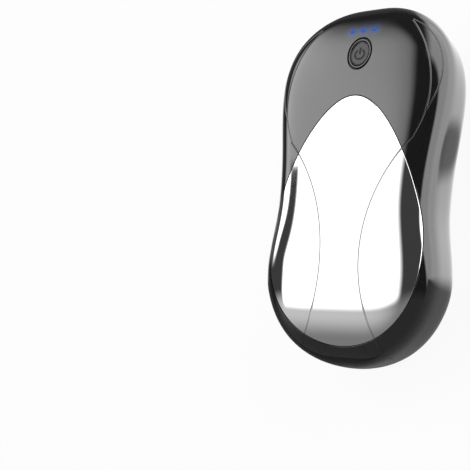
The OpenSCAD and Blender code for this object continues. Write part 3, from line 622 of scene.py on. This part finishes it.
outside = dome_rings(RIM, 40, 0.0, back_at, BACK_POWER)
inside = dome_rings(INNER_RIM, 24, WALL, back_at, BACK_POWER)
back_cover = ring_mesh("back_cover_skin", outside + inside[::-1], closed=True)
bm = bmesh.new()
bm.from_mesh(back_cover.data)
cut = bmesh.ops.bisect_plane(bm, geom=bm.verts[:] + bm.edges[:] + bm.faces[:], plane_co=(0, 0, 0),
                             plane_no=(0, 0, -1), clear_outer=True, dist=FINE_WELD)
flat_edge = [g for g in cut["geom_cut"] if isinstance(g, bmesh.types.BMEdge)]
bmesh.ops.contextual_create(bm, geom=flat_edge)
bm.to_mesh(back_cover.data)
bm.free()
posts = tool("back_posts", back_posts)
carve(posts, half_solid("back_core", -1, POST_INSET), "INTERSECT")
carve(posts, tool("cell_beds", cell_beds), overlaps=True)
carve(back_cover, posts, "UNION")
carve(back_cover, tool("back_bores", back_bores), overlaps=True)
carve(back_cover, tool("back_sockets", socket_holes))
drop_slivers(back_cover)
RUBBED_HEIGHT = 0.35
shell_black, point, clouds, sheen = moulded_black("gloss_black_back")
height = shell_black.parts(point)[2]
rubbed = shell_black.ramp(height, 0.0, RUBBED_HEIGHT, 1.0, 0.0)
shell_black.shade(Base_Color=shell_black.mix(clouds * 0.7 + rubbed * 0.3, BLACK, SOOT),
                  Roughness=sheen + rubbed * 0.05)
shell_black.on(back_cover)
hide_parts("back_cover")
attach(back_cover, "housing")

# Heat panel: a teardrop of thin mirror-polished metal that follows the front's curve. It is pressed
# from sheet with its creases, and held on the front cover's ledge by a tape.
PANEL_T, PANEL_EDGE, PANEL_GROOVE_R, PANEL_GROOVE_LIFT = 0.8, 0.26, 0.6, 0.54
MIRROR, CREASE_SHADE_GREY = (0.92, 0.913, 0.92), (0.19, 0.19, 0.195)
CREASE_NEAR, CREASE_FAR = 0.2, 0.38


def panel_rings():
    edge, bend = tear_outline(0), tear_outline(PANEL_EDGE)
    steps = 30
    shares = [math.sin(math.pi / 2 * k / steps) for k in range(steps + 1)]
    rings = [surface_ring([d * k for d in bend]) for k in shares]
    for down, out in BENDS:
        rings.append(surface_ring([b + (e - b) * out for b, e in zip(bend, edge)], PANEL_EDGE * down))
    rings.append(surface_ring(edge, PANEL_T))
    rings += [surface_ring([d * k for d in edge], PANEL_T) for k in shares[-2::-1]]
    return rings


def grip_crease(x, y):
    """Distance from the long crease in the front's plan, which ends where the crescent begins."""
    run, rise = x - (GRIP_X + GRIP_R), y - GRIP_Y
    return abs((run * run + rise * rise).root() - GRIP_R) + (y - CROSS_Y).most(0)


heat_panel = ring_mesh("heat_panel_sheet", panel_rings(), closed=False)
panel_grooves = groove_tool("panel_grooves", (grip_line,), PANEL_GROOVE_R, PANEL_GROOVE_LIFT)
carve(heat_panel, panel_grooves, overlaps=True)
drop_slivers(heat_panel)
true_facing(heat_panel)
panel_mirror = Finish("panel_mirror", Metallic=1.0, IOR=1.8)
point = panel_mirror.place()
px, py, _ = panel_mirror.parts(point)
# Painted shade: a grey line is painted along the long crease for the groove's shade, fainter towards the
# panel's foot; the crease is also a little rougher.
crease = 1 - panel_mirror.ramp(grip_crease(abs(px), py), CREASE_NEAR, CREASE_FAR)
crease_shade_fade = panel_mirror.ramp(py, -41.5, -37.5, 0.4, 1.0)
clouds, fine = panel_mirror.noise(point, 11.0, 3.0), panel_mirror.noise(point, 0.6, 4.0)
sheen = panel_mirror.ramp(clouds * 0.8 + fine * 0.2, 0.3, 0.8, 0.02, 0.055)
panel_mirror.shade(Base_Color=panel_mirror.mix(crease * crease_shade_fade, MIRROR, CREASE_SHADE_GREY),
                   Roughness=sheen + crease * 0.1)
panel_mirror.relief(fine, 0.00025)
panel_mirror.on(heat_panel)
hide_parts("heat_panel")
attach(heat_panel, "housing")

# Button ring: a moulded collar that sits in the cover's bore. Its lip is rounded, and a fine groove
# runs round it. The button slides in it.
RING_TOP, RING_SEAT, RING_FLANGE_T, RING_FLANGE_D, REST = 0.05, 3.0, 0.6, 9.4, 0.01
GUTTER_LOW, GUTTER_TOP, GUTTER_ROUND, GUTTER_IN = 0.75, 0.62, 0.08, 0.38
COLLAR_IN, COLLAR_ROUND_IN, COLLAR_ROUND, BORE_ROUND, BORE_TURN = 0.4, 0.5, 0.12, 0.12, 0.3
BORE_R = BUTTON_D / 2 + FIT
TURN_STEPS, TURN_SHARP, TINY_WELD = 128, 40, 1e-8
RING_BLACK, RING_SOOT = (0.006, 0.006, 0.007), (0.012, 0.012, 0.013)


def rounded_step(r0, z0, r1, z1, steps=4, outward=True):
    """A quarter turn between two points of a profile; outward bulges it away from the axis."""
    points = []
    for k in range(steps + 1):
        a = math.pi / 2 * k / steps
        if outward:
            points.append((r0 + (r1 - r0) * (1 - math.cos(a)), z0 + (z1 - z0) * math.sin(a)))
        else:
            points.append((r0 + (r1 - r0) * math.sin(a), z0 + (z1 - z0) * (1 - math.cos(a))))
    return points


def turned(name, profile, place, oval_from=-99.0):
    """A piece turned about Z from a profile of radii and heights; above a height it is an oval."""
    bm = bmesh.new()
    path = [bm.verts.new(Vector((r, 0, z)) * MM) for r, z in profile]
    for pair in zip(path, path[1:]):
        bm.edges.new(pair)
    bmesh.ops.remove_doubles(bm, verts=[path[0], path[-1]], dist=TINY_WELD)
    bmesh.ops.spin(bm, geom=bm.verts[:] + bm.edges[:], cent=(0, 0, 0), axis=(0, 0, 1),
                   angle=2 * math.pi, steps=TURN_STEPS, use_merge=True)
    bmesh.ops.remove_doubles(bm, verts=bm.verts, dist=FINE_WELD)
    bmesh.ops.dissolve_degenerate(bm, edges=bm.edges, dist=TINY_WELD)
    bmesh.ops.recalc_face_normals(bm, faces=bm.faces)
    drawn_out = [v for v in bm.verts if v.co.z > oval_from * MM]
    bmesh.ops.scale(bm, vec=(1, OVAL, 1), verts=drawn_out)
    bmesh.ops.transform(bm, matrix=place, verts=bm.verts)
    return finish_mesh(name, bm, TURN_SHARP)


ring_low = -RING_SEAT - RING_FLANGE_T
ring_step = ring_low + RING_FLANGE_T - REST
lip = RING_D / 2
collar = lip - COLLAR_IN
ring_profile = [(BORE_R, ring_low - REST), (RING_FLANGE_D / 2, ring_low - REST),
                (RING_FLANGE_D / 2, ring_step), (lip, ring_step)]
ring_profile += rounded_step(lip, -GUTTER_LOW, lip - GUTTER_ROUND, -GUTTER_TOP, 3)
ring_profile += [(lip - GUTTER_IN, -GUTTER_TOP)]
ring_profile += rounded_step(collar, -RING_TOP - COLLAR_ROUND, lip - COLLAR_ROUND_IN, -RING_TOP)
ring_profile += rounded_step(BORE_R + BORE_ROUND, -RING_TOP, BORE_R, -RING_TOP - BORE_TURN, outward=False)
ring_profile += [(BORE_R, ring_low - REST)]
button_ring = turned("button_ring_collar", ring_profile, AT_BUTTON)
ring_dark = Finish("ring_dark", IOR=1.5, Coat_Roughness=0.03, Coat_IOR=1.55)
centre = AT_BUTTON.translation
point = ring_dark.place(turn=(-TILT, 0, 0), middle=tuple(centre))
clouds, fine = ring_dark.noise(point, 4.0, 3.0), ring_dark.noise(point, 0.4, 3.0)
rx, ry, _ = ring_dark.parts(point)
half_band = (collar - BORE_R) / 2
from_band = abs((rx * rx + (ry / OVAL) * (ry / OVAL)).root() - (BORE_R + collar) / 2)
gap = ring_dark.ramp(from_band, half_band - 0.1, half_band)
ring_dark.shade(Base_Color=ring_dark.mix(clouds, RING_BLACK, RING_SOOT),
                Roughness=ring_dark.ramp(clouds * 0.6 + fine * 0.4, 0.3, 0.8, 0.06, 0.12) + gap * 0.5,
                Coat_Weight=(1 - gap) * 0.8)
ring_dark.relief(fine, 0.0006)
ring_dark.on(button_ring)
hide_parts("button_ring")
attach(button_ring, "housing")

# Power button: a moulded oval cap with a shallow recess and the usual power sign sunk in it. Its
# flange keeps it under the ring, and its round stem presses the switch.
BUTTON_LOW, RECESS, BUTTON_EDGE, BUTTON_CREST, RECESS_BEND = 0.1, 0.15, 0.3, 0.12, 0.08
FLANGE_TOP = RING_SEAT + RING_FLANGE_T + 2 * REST
FLANGE_T, FLANGE_D, STEM_D, STEM_REACH = 0.7, 7.2, 3.0, 0.2
cap_r = BUTTON_D / 2
recess_r = cap_r - BUTTON_EDGE
flange_low = -FLANGE_TOP - FLANGE_T
stem_low = flange_low - STEM_REACH - REST
cap_profile = [(0, stem_low), (STEM_D / 2, stem_low), (STEM_D / 2, flange_low - REST),
               (FLANGE_D / 2, flange_low), (FLANGE_D / 2, -FLANGE_TOP), (cap_r, -FLANGE_TOP)]
cap_profile += rounded_step(cap_r, -BUTTON_LOW - BUTTON_EDGE, recess_r + BUTTON_CREST, -BUTTON_LOW)
cap_profile += rounded_step(recess_r + RECESS_BEND, -BUTTON_LOW,
                            recess_r - RECESS_BEND, -BUTTON_LOW - RECESS, 3, outward=False)
cap_profile += [(recess_r * (1 - k / 4), -BUTTON_LOW - RECESS) for k in (1, 2, 3, 4)]
power_button = turned("power_button_cap", cap_profile, AT_BUTTON, flange_low - REST / 2)
SIGN_R, SIGN_W, SIGN_BAR, SIGN_BAR_Y, SIGN_TALL, SIGN_LOW = 1.45, 0.58, 2.1, 1.15, 1.05, 0.3
SIGN_SUNK, SIGN_RISE, SIGN_OPEN, SIGN_STEPS = 0.1, 0.3, 0.5, 72
CAP_BLACK, SIGN_BLACK = (0.009, 0.009, 0.01), (0.002, 0.002, 0.002)


def power_sign(bm):
    """An open arc with a bar in its opening, from under the recess's floor to above it: a tool."""
    low, high, half = -BUTTON_LOW - RECESS - SIGN_SUNK, SIGN_RISE, SIGN_W / 2
    corners = [(SIGN_R - half, low), (SIGN_R + half, low), (SIGN_R + half, high), (SIGN_R - half, high)]
    bmesh.ops.create_grid(bm, x_segments=SIGN_STEPS, y_segments=4, size=1)
    for v in bm.verts:
        r, z = corners[round((v.co.y + 1) * 2) % 4]
        turn = math.pi / 2 + SIGN_OPEN + (2 * math.pi - 2 * SIGN_OPEN) * (v.co.x + 1) / 2
        v.co = Vector((r * math.cos(turn), r * math.sin(turn), z)) * MM
    bmesh.ops.remove_doubles(bm, verts=bm.verts, dist=FINE_WELD)
    bmesh.ops.holes_fill(bm, edges=[e for e in bm.edges if e.is_boundary], sides=0)
    bar = Matrix.Translation(Vector((0, SIGN_BAR_Y, (low + high) / 2)) * MM) \
        @ Matrix.Diagonal((SIGN_W * MM, SIGN_BAR * MM, (high - low) * MM, 1))
    bmesh.ops.create_cube(bm, size=1, matrix=bar)
    place = AT_BUTTON @ Matrix.Translation((0, -SIGN_LOW * MM, 0)) @ Matrix.Diagonal((1, SIGN_TALL, 1, 1))
    bmesh.ops.transform(bm, matrix=place, verts=bm.verts)


carve(power_button, tool("power_sign", power_sign))
button_dark = Finish("button_dark", IOR=1.5, Coat_IOR=1.55, Coat_Roughness=0.03)
point = button_dark.place(turn=(-TILT, 0, 0), middle=tuple(centre))
sx, sy, sz = button_dark.parts(point)
rise = (sy + SIGN_LOW) / SIGN_TALL
from_middle = (sx * sx + rise * rise).root()
arc = abs(from_middle - SIGN_R) < SIGN_W / 2
opening = (abs(sx) < SIGN_W * 1.2) * (rise > 0)
bar = (abs(sx) < SIGN_W / 2) * (abs(rise - SIGN_BAR_Y) < SIGN_BAR / 2)
near_top = sz > -1
sign = (arc * (1 - opening)).most(bar) * near_top
seam = button_dark.ramp((sx * sx + (sy / OVAL) * (sy / OVAL)).root(), recess_r + 0.02, recess_r + 0.12)
dull = sign.most(seam)
clouds, fine = button_dark.noise(point, 4.0, 3.0), button_dark.noise(point, 0.4, 3.0)
button_dark.shade(Base_Color=button_dark.mix(sign, CAP_BLACK, SIGN_BLACK),
                  Roughness=button_dark.ramp(clouds, 0.3, 0.8, 0.08, 0.14) + dull * 0.45,
                  Coat_Weight=(1 - dull) * 0.12)
button_dark.relief(fine, 0.0006)
button_dark.on(power_button)
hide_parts("power_button")
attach(power_button, "button")

# Charge lights: three clear pins on one moulded bar, pressed into the cover from inside. Each carries
# the blue light of a small lamp on the key board to a window in the cover.
guide_clear = Finish("guide_clear", IOR=1.49, Transmission_Weight=0.1, Specular_IOR_Level=0.05,
                     Emission_Strength=0.75)
point = guide_clear.place(turn=(-TILT, 0, 0), middle=tuple(centre))
height = guide_clear.parts(point)[2]
# Painted light: the pins glow by their own blue emission, brighter towards their tops, in place of the
# lamps' light; the lamps under them give none.
lit = guide_clear.ramp(height, -2.5, LIGHT_RISE - 0.05)
spread = guide_clear.noise(point, 0.5, 3.0)
guide_clear.shade(Base_Color=guide_clear.mix(spread, (0.004, 0.03, 0.18), (0.006, 0.04, 0.22)),
                  Roughness=guide_clear.ramp(spread, 0.2, 0.8, 0.12, 0.3),
                  Emission_Color=guide_clear.mix(lit, (0, 0, 0.01), (0.008, 0.105, 0.50)))
guide_clear.relief(spread, 0.004)
guide_clear.on(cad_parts["light_guide"])


def plain_finish(name, nodes, first, second, size, rough, depth=0.006, **constants):
    """A finish for sealed inner nodes: a colour and a gloss that vary in soft patches of a size."""
    finish = Finish(name, **constants)
    patches = finish.noise(finish.place(), size, 3.0)
    finish.shade(Base_Color=finish.mix(finish.ramp(patches, 0.25, 0.75), first, second),
                 Roughness=finish.ramp(patches, 0.2, 0.8, *rough))
    finish.relief(patches, depth)
    finish.on(*[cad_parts[node] for node in nodes])
    return finish


plain_finish("light_chip", ["indicator_lights"],
             (0.85, 0.83, 0.70), (0.78, 0.76, 0.62), 0.4, (0.3, 0.45))

# Panel tape and heater: a double-sided tape holds the panel, a printed heating film lies under it, a
# foam pad presses the film up, and a small bead reads the temperature.
TRACE_STEP, TRACE_WAVE, TRACE_HALF = 3.2, 0.12, 0.17
plain_finish("tape_amber", ["panel_tape"],
             (0.62, 0.36, 0.05), (0.52, 0.29, 0.04), 0.8, (0.25, 0.4))
film = plain_finish("film_amber", ["heater_film"],
                    (0.50, 0.20, 0.03), (0.42, 0.16, 0.02), 1.2, (0.18, 0.3), Coat_Weight=0.5)
tx, ty, _ = film.parts(film.place())
winding = film.math("FRACT", ty / TRACE_STEP + film.math("SINE", tx * 0.9) * TRACE_WAVE)
trace = abs(winding - 0.5) < TRACE_HALF
film.shade(Metallic=trace * 0.8, Base_Color=film.mix(trace, (0.46, 0.18, 0.03), (0.56, 0.27, 0.12)))
plain_finish("foam_grey", ["foam_pad"],
             (0.075, 0.078, 0.085), (0.11, 0.113, 0.12), 0.35, (0.85, 0.95), 0.15)
plain_finish("bead_green", ["thermistor"],
             (0.02, 0.16, 0.07), (0.03, 0.22, 0.10), 0.5, (0.15, 0.3), Coat_Weight=1.0)

# Screws: turned steel with crossed slots. Two hold the covers together from under the panel, two hold
# the key board and two the main board.
plain_finish("screw_steel", ["cover_screws", "key_board_screws", "main_board_screws"],
             (0.46, 0.46, 0.47), (0.58, 0.58, 0.59), 0.5, (0.22, 0.38), 0.004, Metallic=1.0)

# Key board: a small board of glass laminate under the button, with the switch that the stem presses.
# The switch is moulded, with its plunger on top, and a row of pins joins the board to the main board.
WEAVE = 9.0
plain_finish("switch_black", ["switch_body"],
             (0.012, 0.012, 0.013), (0.02, 0.02, 0.022), 0.5, (0.4, 0.55))
plain_finish("plunger_brown", ["switch_plunger"],
             (0.30, 0.15, 0.05), (0.36, 0.19, 0.07), 0.4, (0.35, 0.5))
board = plain_finish("board_green", ["key_board", "main_board"],
                     (0.008, 0.075, 0.03), (0.012, 0.10, 0.042), 1.5, (0.25, 0.4), 0.004, Coat_Weight=0.6)
kx, ky, _ = board.parts(board.place())
weave = (board.math("SINE", kx * WEAVE) * board.math("SINE", ky * WEAVE)) * 0.5 + 0.5
board.shade(Base_Color=board.mix(weave, (0.008, 0.072, 0.03), (0.011, 0.09, 0.038)))
plain_finish("link_black", ["board_link"],
             (0.012, 0.012, 0.013), (0.022, 0.022, 0.024), 0.6, (0.4, 0.6))

# Ports: drawn steel shells that stand on the main board, with a moulded tongue in each. The wide one
# gives current out, the small one takes the charging lead.
plain_finish("port_steel", ["output_shell", "inlet_shell"],
             (0.60, 0.60, 0.62), (0.72, 0.72, 0.74), 1.2, (0.18, 0.32), 0.003, Metallic=1.0)
plain_finish("tongue_white", ["output_tongue"],
             (0.72, 0.72, 0.70), (0.80, 0.80, 0.78), 1.0, (0.35, 0.5))
plain_finish("tongue_black", ["inlet_tongue"],
             (0.012, 0.012, 0.013), (0.022, 0.022, 0.024), 0.6, (0.4, 0.55))

# Main board parts: a wound coil in ferrite, moulded control chips and electrolytic caps in aluminium
# cans, all soldered on the board. They charge the cells and feed the heater.
plain_finish("coil_ferrite", ["power_coil"],
             (0.03, 0.03, 0.032), (0.055, 0.055, 0.058), 0.5, (0.55, 0.75), 0.02)
plain_finish("chip_black", ["control_chips"],
             (0.010, 0.010, 0.011), (0.018, 0.018, 0.02), 0.4, (0.45, 0.6), 0.01)
plain_finish("cap_aluminium", ["smoothing_caps"],
             (0.66, 0.67, 0.69), (0.76, 0.77, 0.79), 0.8, (0.25, 0.4), 0.003, Metallic=1.0)

# Cells: two round cells in a shrunk sleeve, side by side on the back cover's ribs, joined by nickel
# tabs with paper rings under them. Two leads run to the board.
plain_finish("cell_wrap", ["cell_left", "cell_right"],
             (0.02, 0.10, 0.36), (0.03, 0.13, 0.42), 3.0, (0.22, 0.36), Coat_Weight=0.3)
plain_finish("insulator_paper", ["cell_insulators"],
             (0.70, 0.67, 0.56), (0.78, 0.75, 0.64), 0.5, (0.7, 0.85), 0.01)
plain_finish("tab_nickel", ["cell_tabs"],
             (0.58, 0.57, 0.54), (0.68, 0.67, 0.64), 0.8, (0.25, 0.4), 0.004, Metallic=1.0)
plain_finish("lead_red", ["lead_positive"],
             (0.42, 0.02, 0.02), (0.50, 0.03, 0.03), 1.0, (0.35, 0.5))
plain_finish("lead_black", ["lead_negative"],
             (0.012, 0.012, 0.013), (0.02, 0.02, 0.022), 1.0, (0.35, 0.5))

# Floor and backdrop: one plain pale sheet under the part. Camera and mirror rays see it white, with the
# part's soft shadow kept.
FLOOR_R, FLOOR_DROP = 1.2, 0.0002
PAPER, PAPER_LIGHT, PAPER_WHITE = (0.88, 0.88, 0.88), (0.90, 0.90, 0.90), 0.93
bm = bmesh.new()
bmesh.ops.create_circle(bm, cap_ends=True, segments=96, radius=FLOOR_R)
bmesh.ops.translate(bm, verts=bm.verts, vec=Vector((0, 0, -FLOOR_DROP)))
floor = finish_mesh("pale_floor", bm)
paper = Finish("pale_paper", Roughness=0.9)
grain = paper.noise(paper.place(), 2.0, 3.0)
paper.shade(Base_Color=paper.mix(grain, PAPER, PAPER_LIGHT))
seen = paper.ray("Is Camera Ray", "Is Glossy Ray", "Is Transmission Ray")
white = paper.node("Emission", {}, {"Color": (1, 1, 1, 1), "Strength": 1.0})
paper.blend(seen * PAPER_WHITE, Value(paper, paper.shader.outputs[0]), white)
paper.on(floor)

# Light: a plain soft studio. The room is dim, with one broad softbox over the part's left shoulder and
# a pale wall at its right. Polished black and mirror show both, and the dim room between them. All is
# set by the direction in which a ray leaves the part: its x, y and z.
KEY, KEY_SLOPE, WALL_LIGHT = 1.45, 1.3, 2.3
TAIL_LIGHT, ROOM_DIM, FOOT_LIGHT, EDGE_SOFT = 0.20, 0.045, 0.42, 0.04
world = bpy.data.worlds.new("studio_room")
bpy.context.scene.world = world
world.use_nodes = True
room = Nodes(world.node_tree)
wx, wy, wz = room.parts(room.node("TexCoord", {}, {}, "Generated"))
# The room by itself: lighter past the part's tail, with a glow there that the panel's foot shows
tail_side = room.ramp(wy, -0.42, -0.18, TAIL_LIGHT, ROOM_DIM)
foot_glow = room.ramp(wy, -0.66, -0.30, 0.0, FOOT_LIGHT) * room.ramp(wy, -0.28, -0.14, 1.0, 0.0) \
    * room.ramp(wz, 0.1, 0.5) * room.ramp(wx, -0.45, 0.12, 1.0, 0.0)
level = tail_side + foot_glow
# The pale wall: low down at the part's right, towards its head
wall = room.ramp(wz - wy * 0.9, 0.08, 0.26, 1.0, 0.0) \
    * room.ramp(wx, 0.0, 0.28) * room.ramp(wy, -0.25, 0.12)
level = level + (WALL_LIGHT - level) * wall
# The softbox: its right and left edges, a dark bar of its frame near the left one, and its rounded top
key_right = wx - room.ramp(wy, 0.20, 0.60, -0.01, -0.15) - room.ramp(wy, 0.66, 0.88, 0.0, -0.20)
left_end = room.ramp(wy, -0.3, 0.0, -0.75, -0.705) + room.ramp(wy, 0.04, 0.20, 0.0, 0.055)
frame_bar = room.ramp(wy, 0.17, 0.25, 0.25, 0.18) * room.ramp(wy, 0.26, 0.29, 1.0, 0.0)
past_bar = room.ramp(wx - left_end + frame_bar, -EDGE_SOFT, EDGE_SOFT, 1.0, 0.0) \
    * room.ramp(wy, 0.04, 0.20)
across = (room.ramp(wx - left_end, -EDGE_SOFT, EDGE_SOFT) + past_bar).least(1.0)
above = (wy - 0.55).most(0) / 0.35
key_top = (1 - above * above).most(0)
key = room.ramp(key_right, -0.11, 0.05, 1.0, 0.0) * across \
    * room.ramp(wy, -0.335, -0.215) * room.ramp(wz, 0.08, 0.32) * key_top
# It is brighter towards its left, and the camera sees the backdrop plain white
brightness = room.ramp(key_right, -0.36, -0.02, KEY + KEY_SLOPE, KEY)
level = level + (brightness - level) * key
camera_ray = room.ray("Is Camera Ray")
backdrop = room.tree.nodes["Background"]
backdrop.inputs["Color"].default_value = (1, 1, 1, 1)
room.feed(backdrop.inputs["Strength"], level * (1 - camera_ray) + camera_ray)

# Floor card: a large card on the floor, pale with dark stretches, that only reflections see. The side
# walls of the polished black body take their tones from it.
CARD_DROP, CARD_END_X, SPOT_X, SPOT_Y = 0.0001, 12, 34, 13
SPOT_LIGHT, CARD_PALE, CARD_BRIGHT, CARD_DARK, CARD_DIM = 0.34, 1.1, 2.1, 0.09, 0.24
bm = bmesh.new()
bmesh.ops.create_grid(bm, x_segments=1, y_segments=1, size=FLOOR_R)
bmesh.ops.translate(bm, verts=bm.verts, vec=Vector((0, 0, -CARD_DROP)))
floor_card = finish_mesh("floor_card", bm)
floor_card.visible_camera = floor_card.visible_diffuse = floor_card.visible_shadow = False
card_floor = Finish("card_floor")
cx, cy, _ = card_floor.parts(card_floor.place())
away_x, away_y = cx - SPOT_X, cy - SPOT_Y
spot = card_floor.ramp((away_x * away_x * 0.8 + away_y * away_y * 0.7).root(), 4.0, 10.0, 1.0, 0.0)
pale = card_floor.ramp(cx, 30, 72, CARD_PALE, CARD_BRIGHT)
pale = pale + (SPOT_LIGHT - pale) * spot
dark = card_floor.ramp(cy, -31, -23, 1.0, 0.0).most(card_floor.ramp(cx, -90, -60, 1.0, 0.0))
dark = dark.most(card_floor.ramp(cy, 50, 58) * card_floor.ramp(cx, 4, 22, 1.0, 0.0))
dim = card_floor.ramp(cx, -30, 30, CARD_DARK, CARD_DIM)
lit = card_floor.node("Emission", {}, {"Color": (1, 1, 1, 1), "Strength": pale + (dim - pale) * dark})
clear = card_floor.node("BsdfTransparent", {}, {})
card_floor.blend(dark.most(cx > CARD_END_X), clear, lit)
card_floor.on(floor_card)

# Camera: where the photograph was taken from, a little to the right and towards the tail. It is a
# plain one with a fairly long lens, aimed so that the part stands at the right of the picture.
CAMERA_AT, CAMERA_TURN = (108.24, -63.54, 254.21), (2.8307, 0.077, -0.8028)
eye = bpy.data.cameras.new("photo_camera")
eye.sensor_width, eye.lens = 36.0, 68.94
eye.shift_x, eye.shift_y = -0.01477, -0.01134
eye.clip_start, eye.clip_end = 0.01, 20.0
camera = bpy.data.objects.new("photo_camera", eye)
bpy.context.scene.collection.objects.link(camera)
turn = Vector(CAMERA_TURN)
look = Matrix.Rotation(-turn.length, 4, turn) @ Matrix.Rotation(math.pi, 4, "X")
camera.matrix_world = Matrix.Translation(Vector(CAMERA_AT) * MM) @ look
bpy.context.scene.camera = camera
bpy.context.scene.view_settings.view_transform = "Standard"
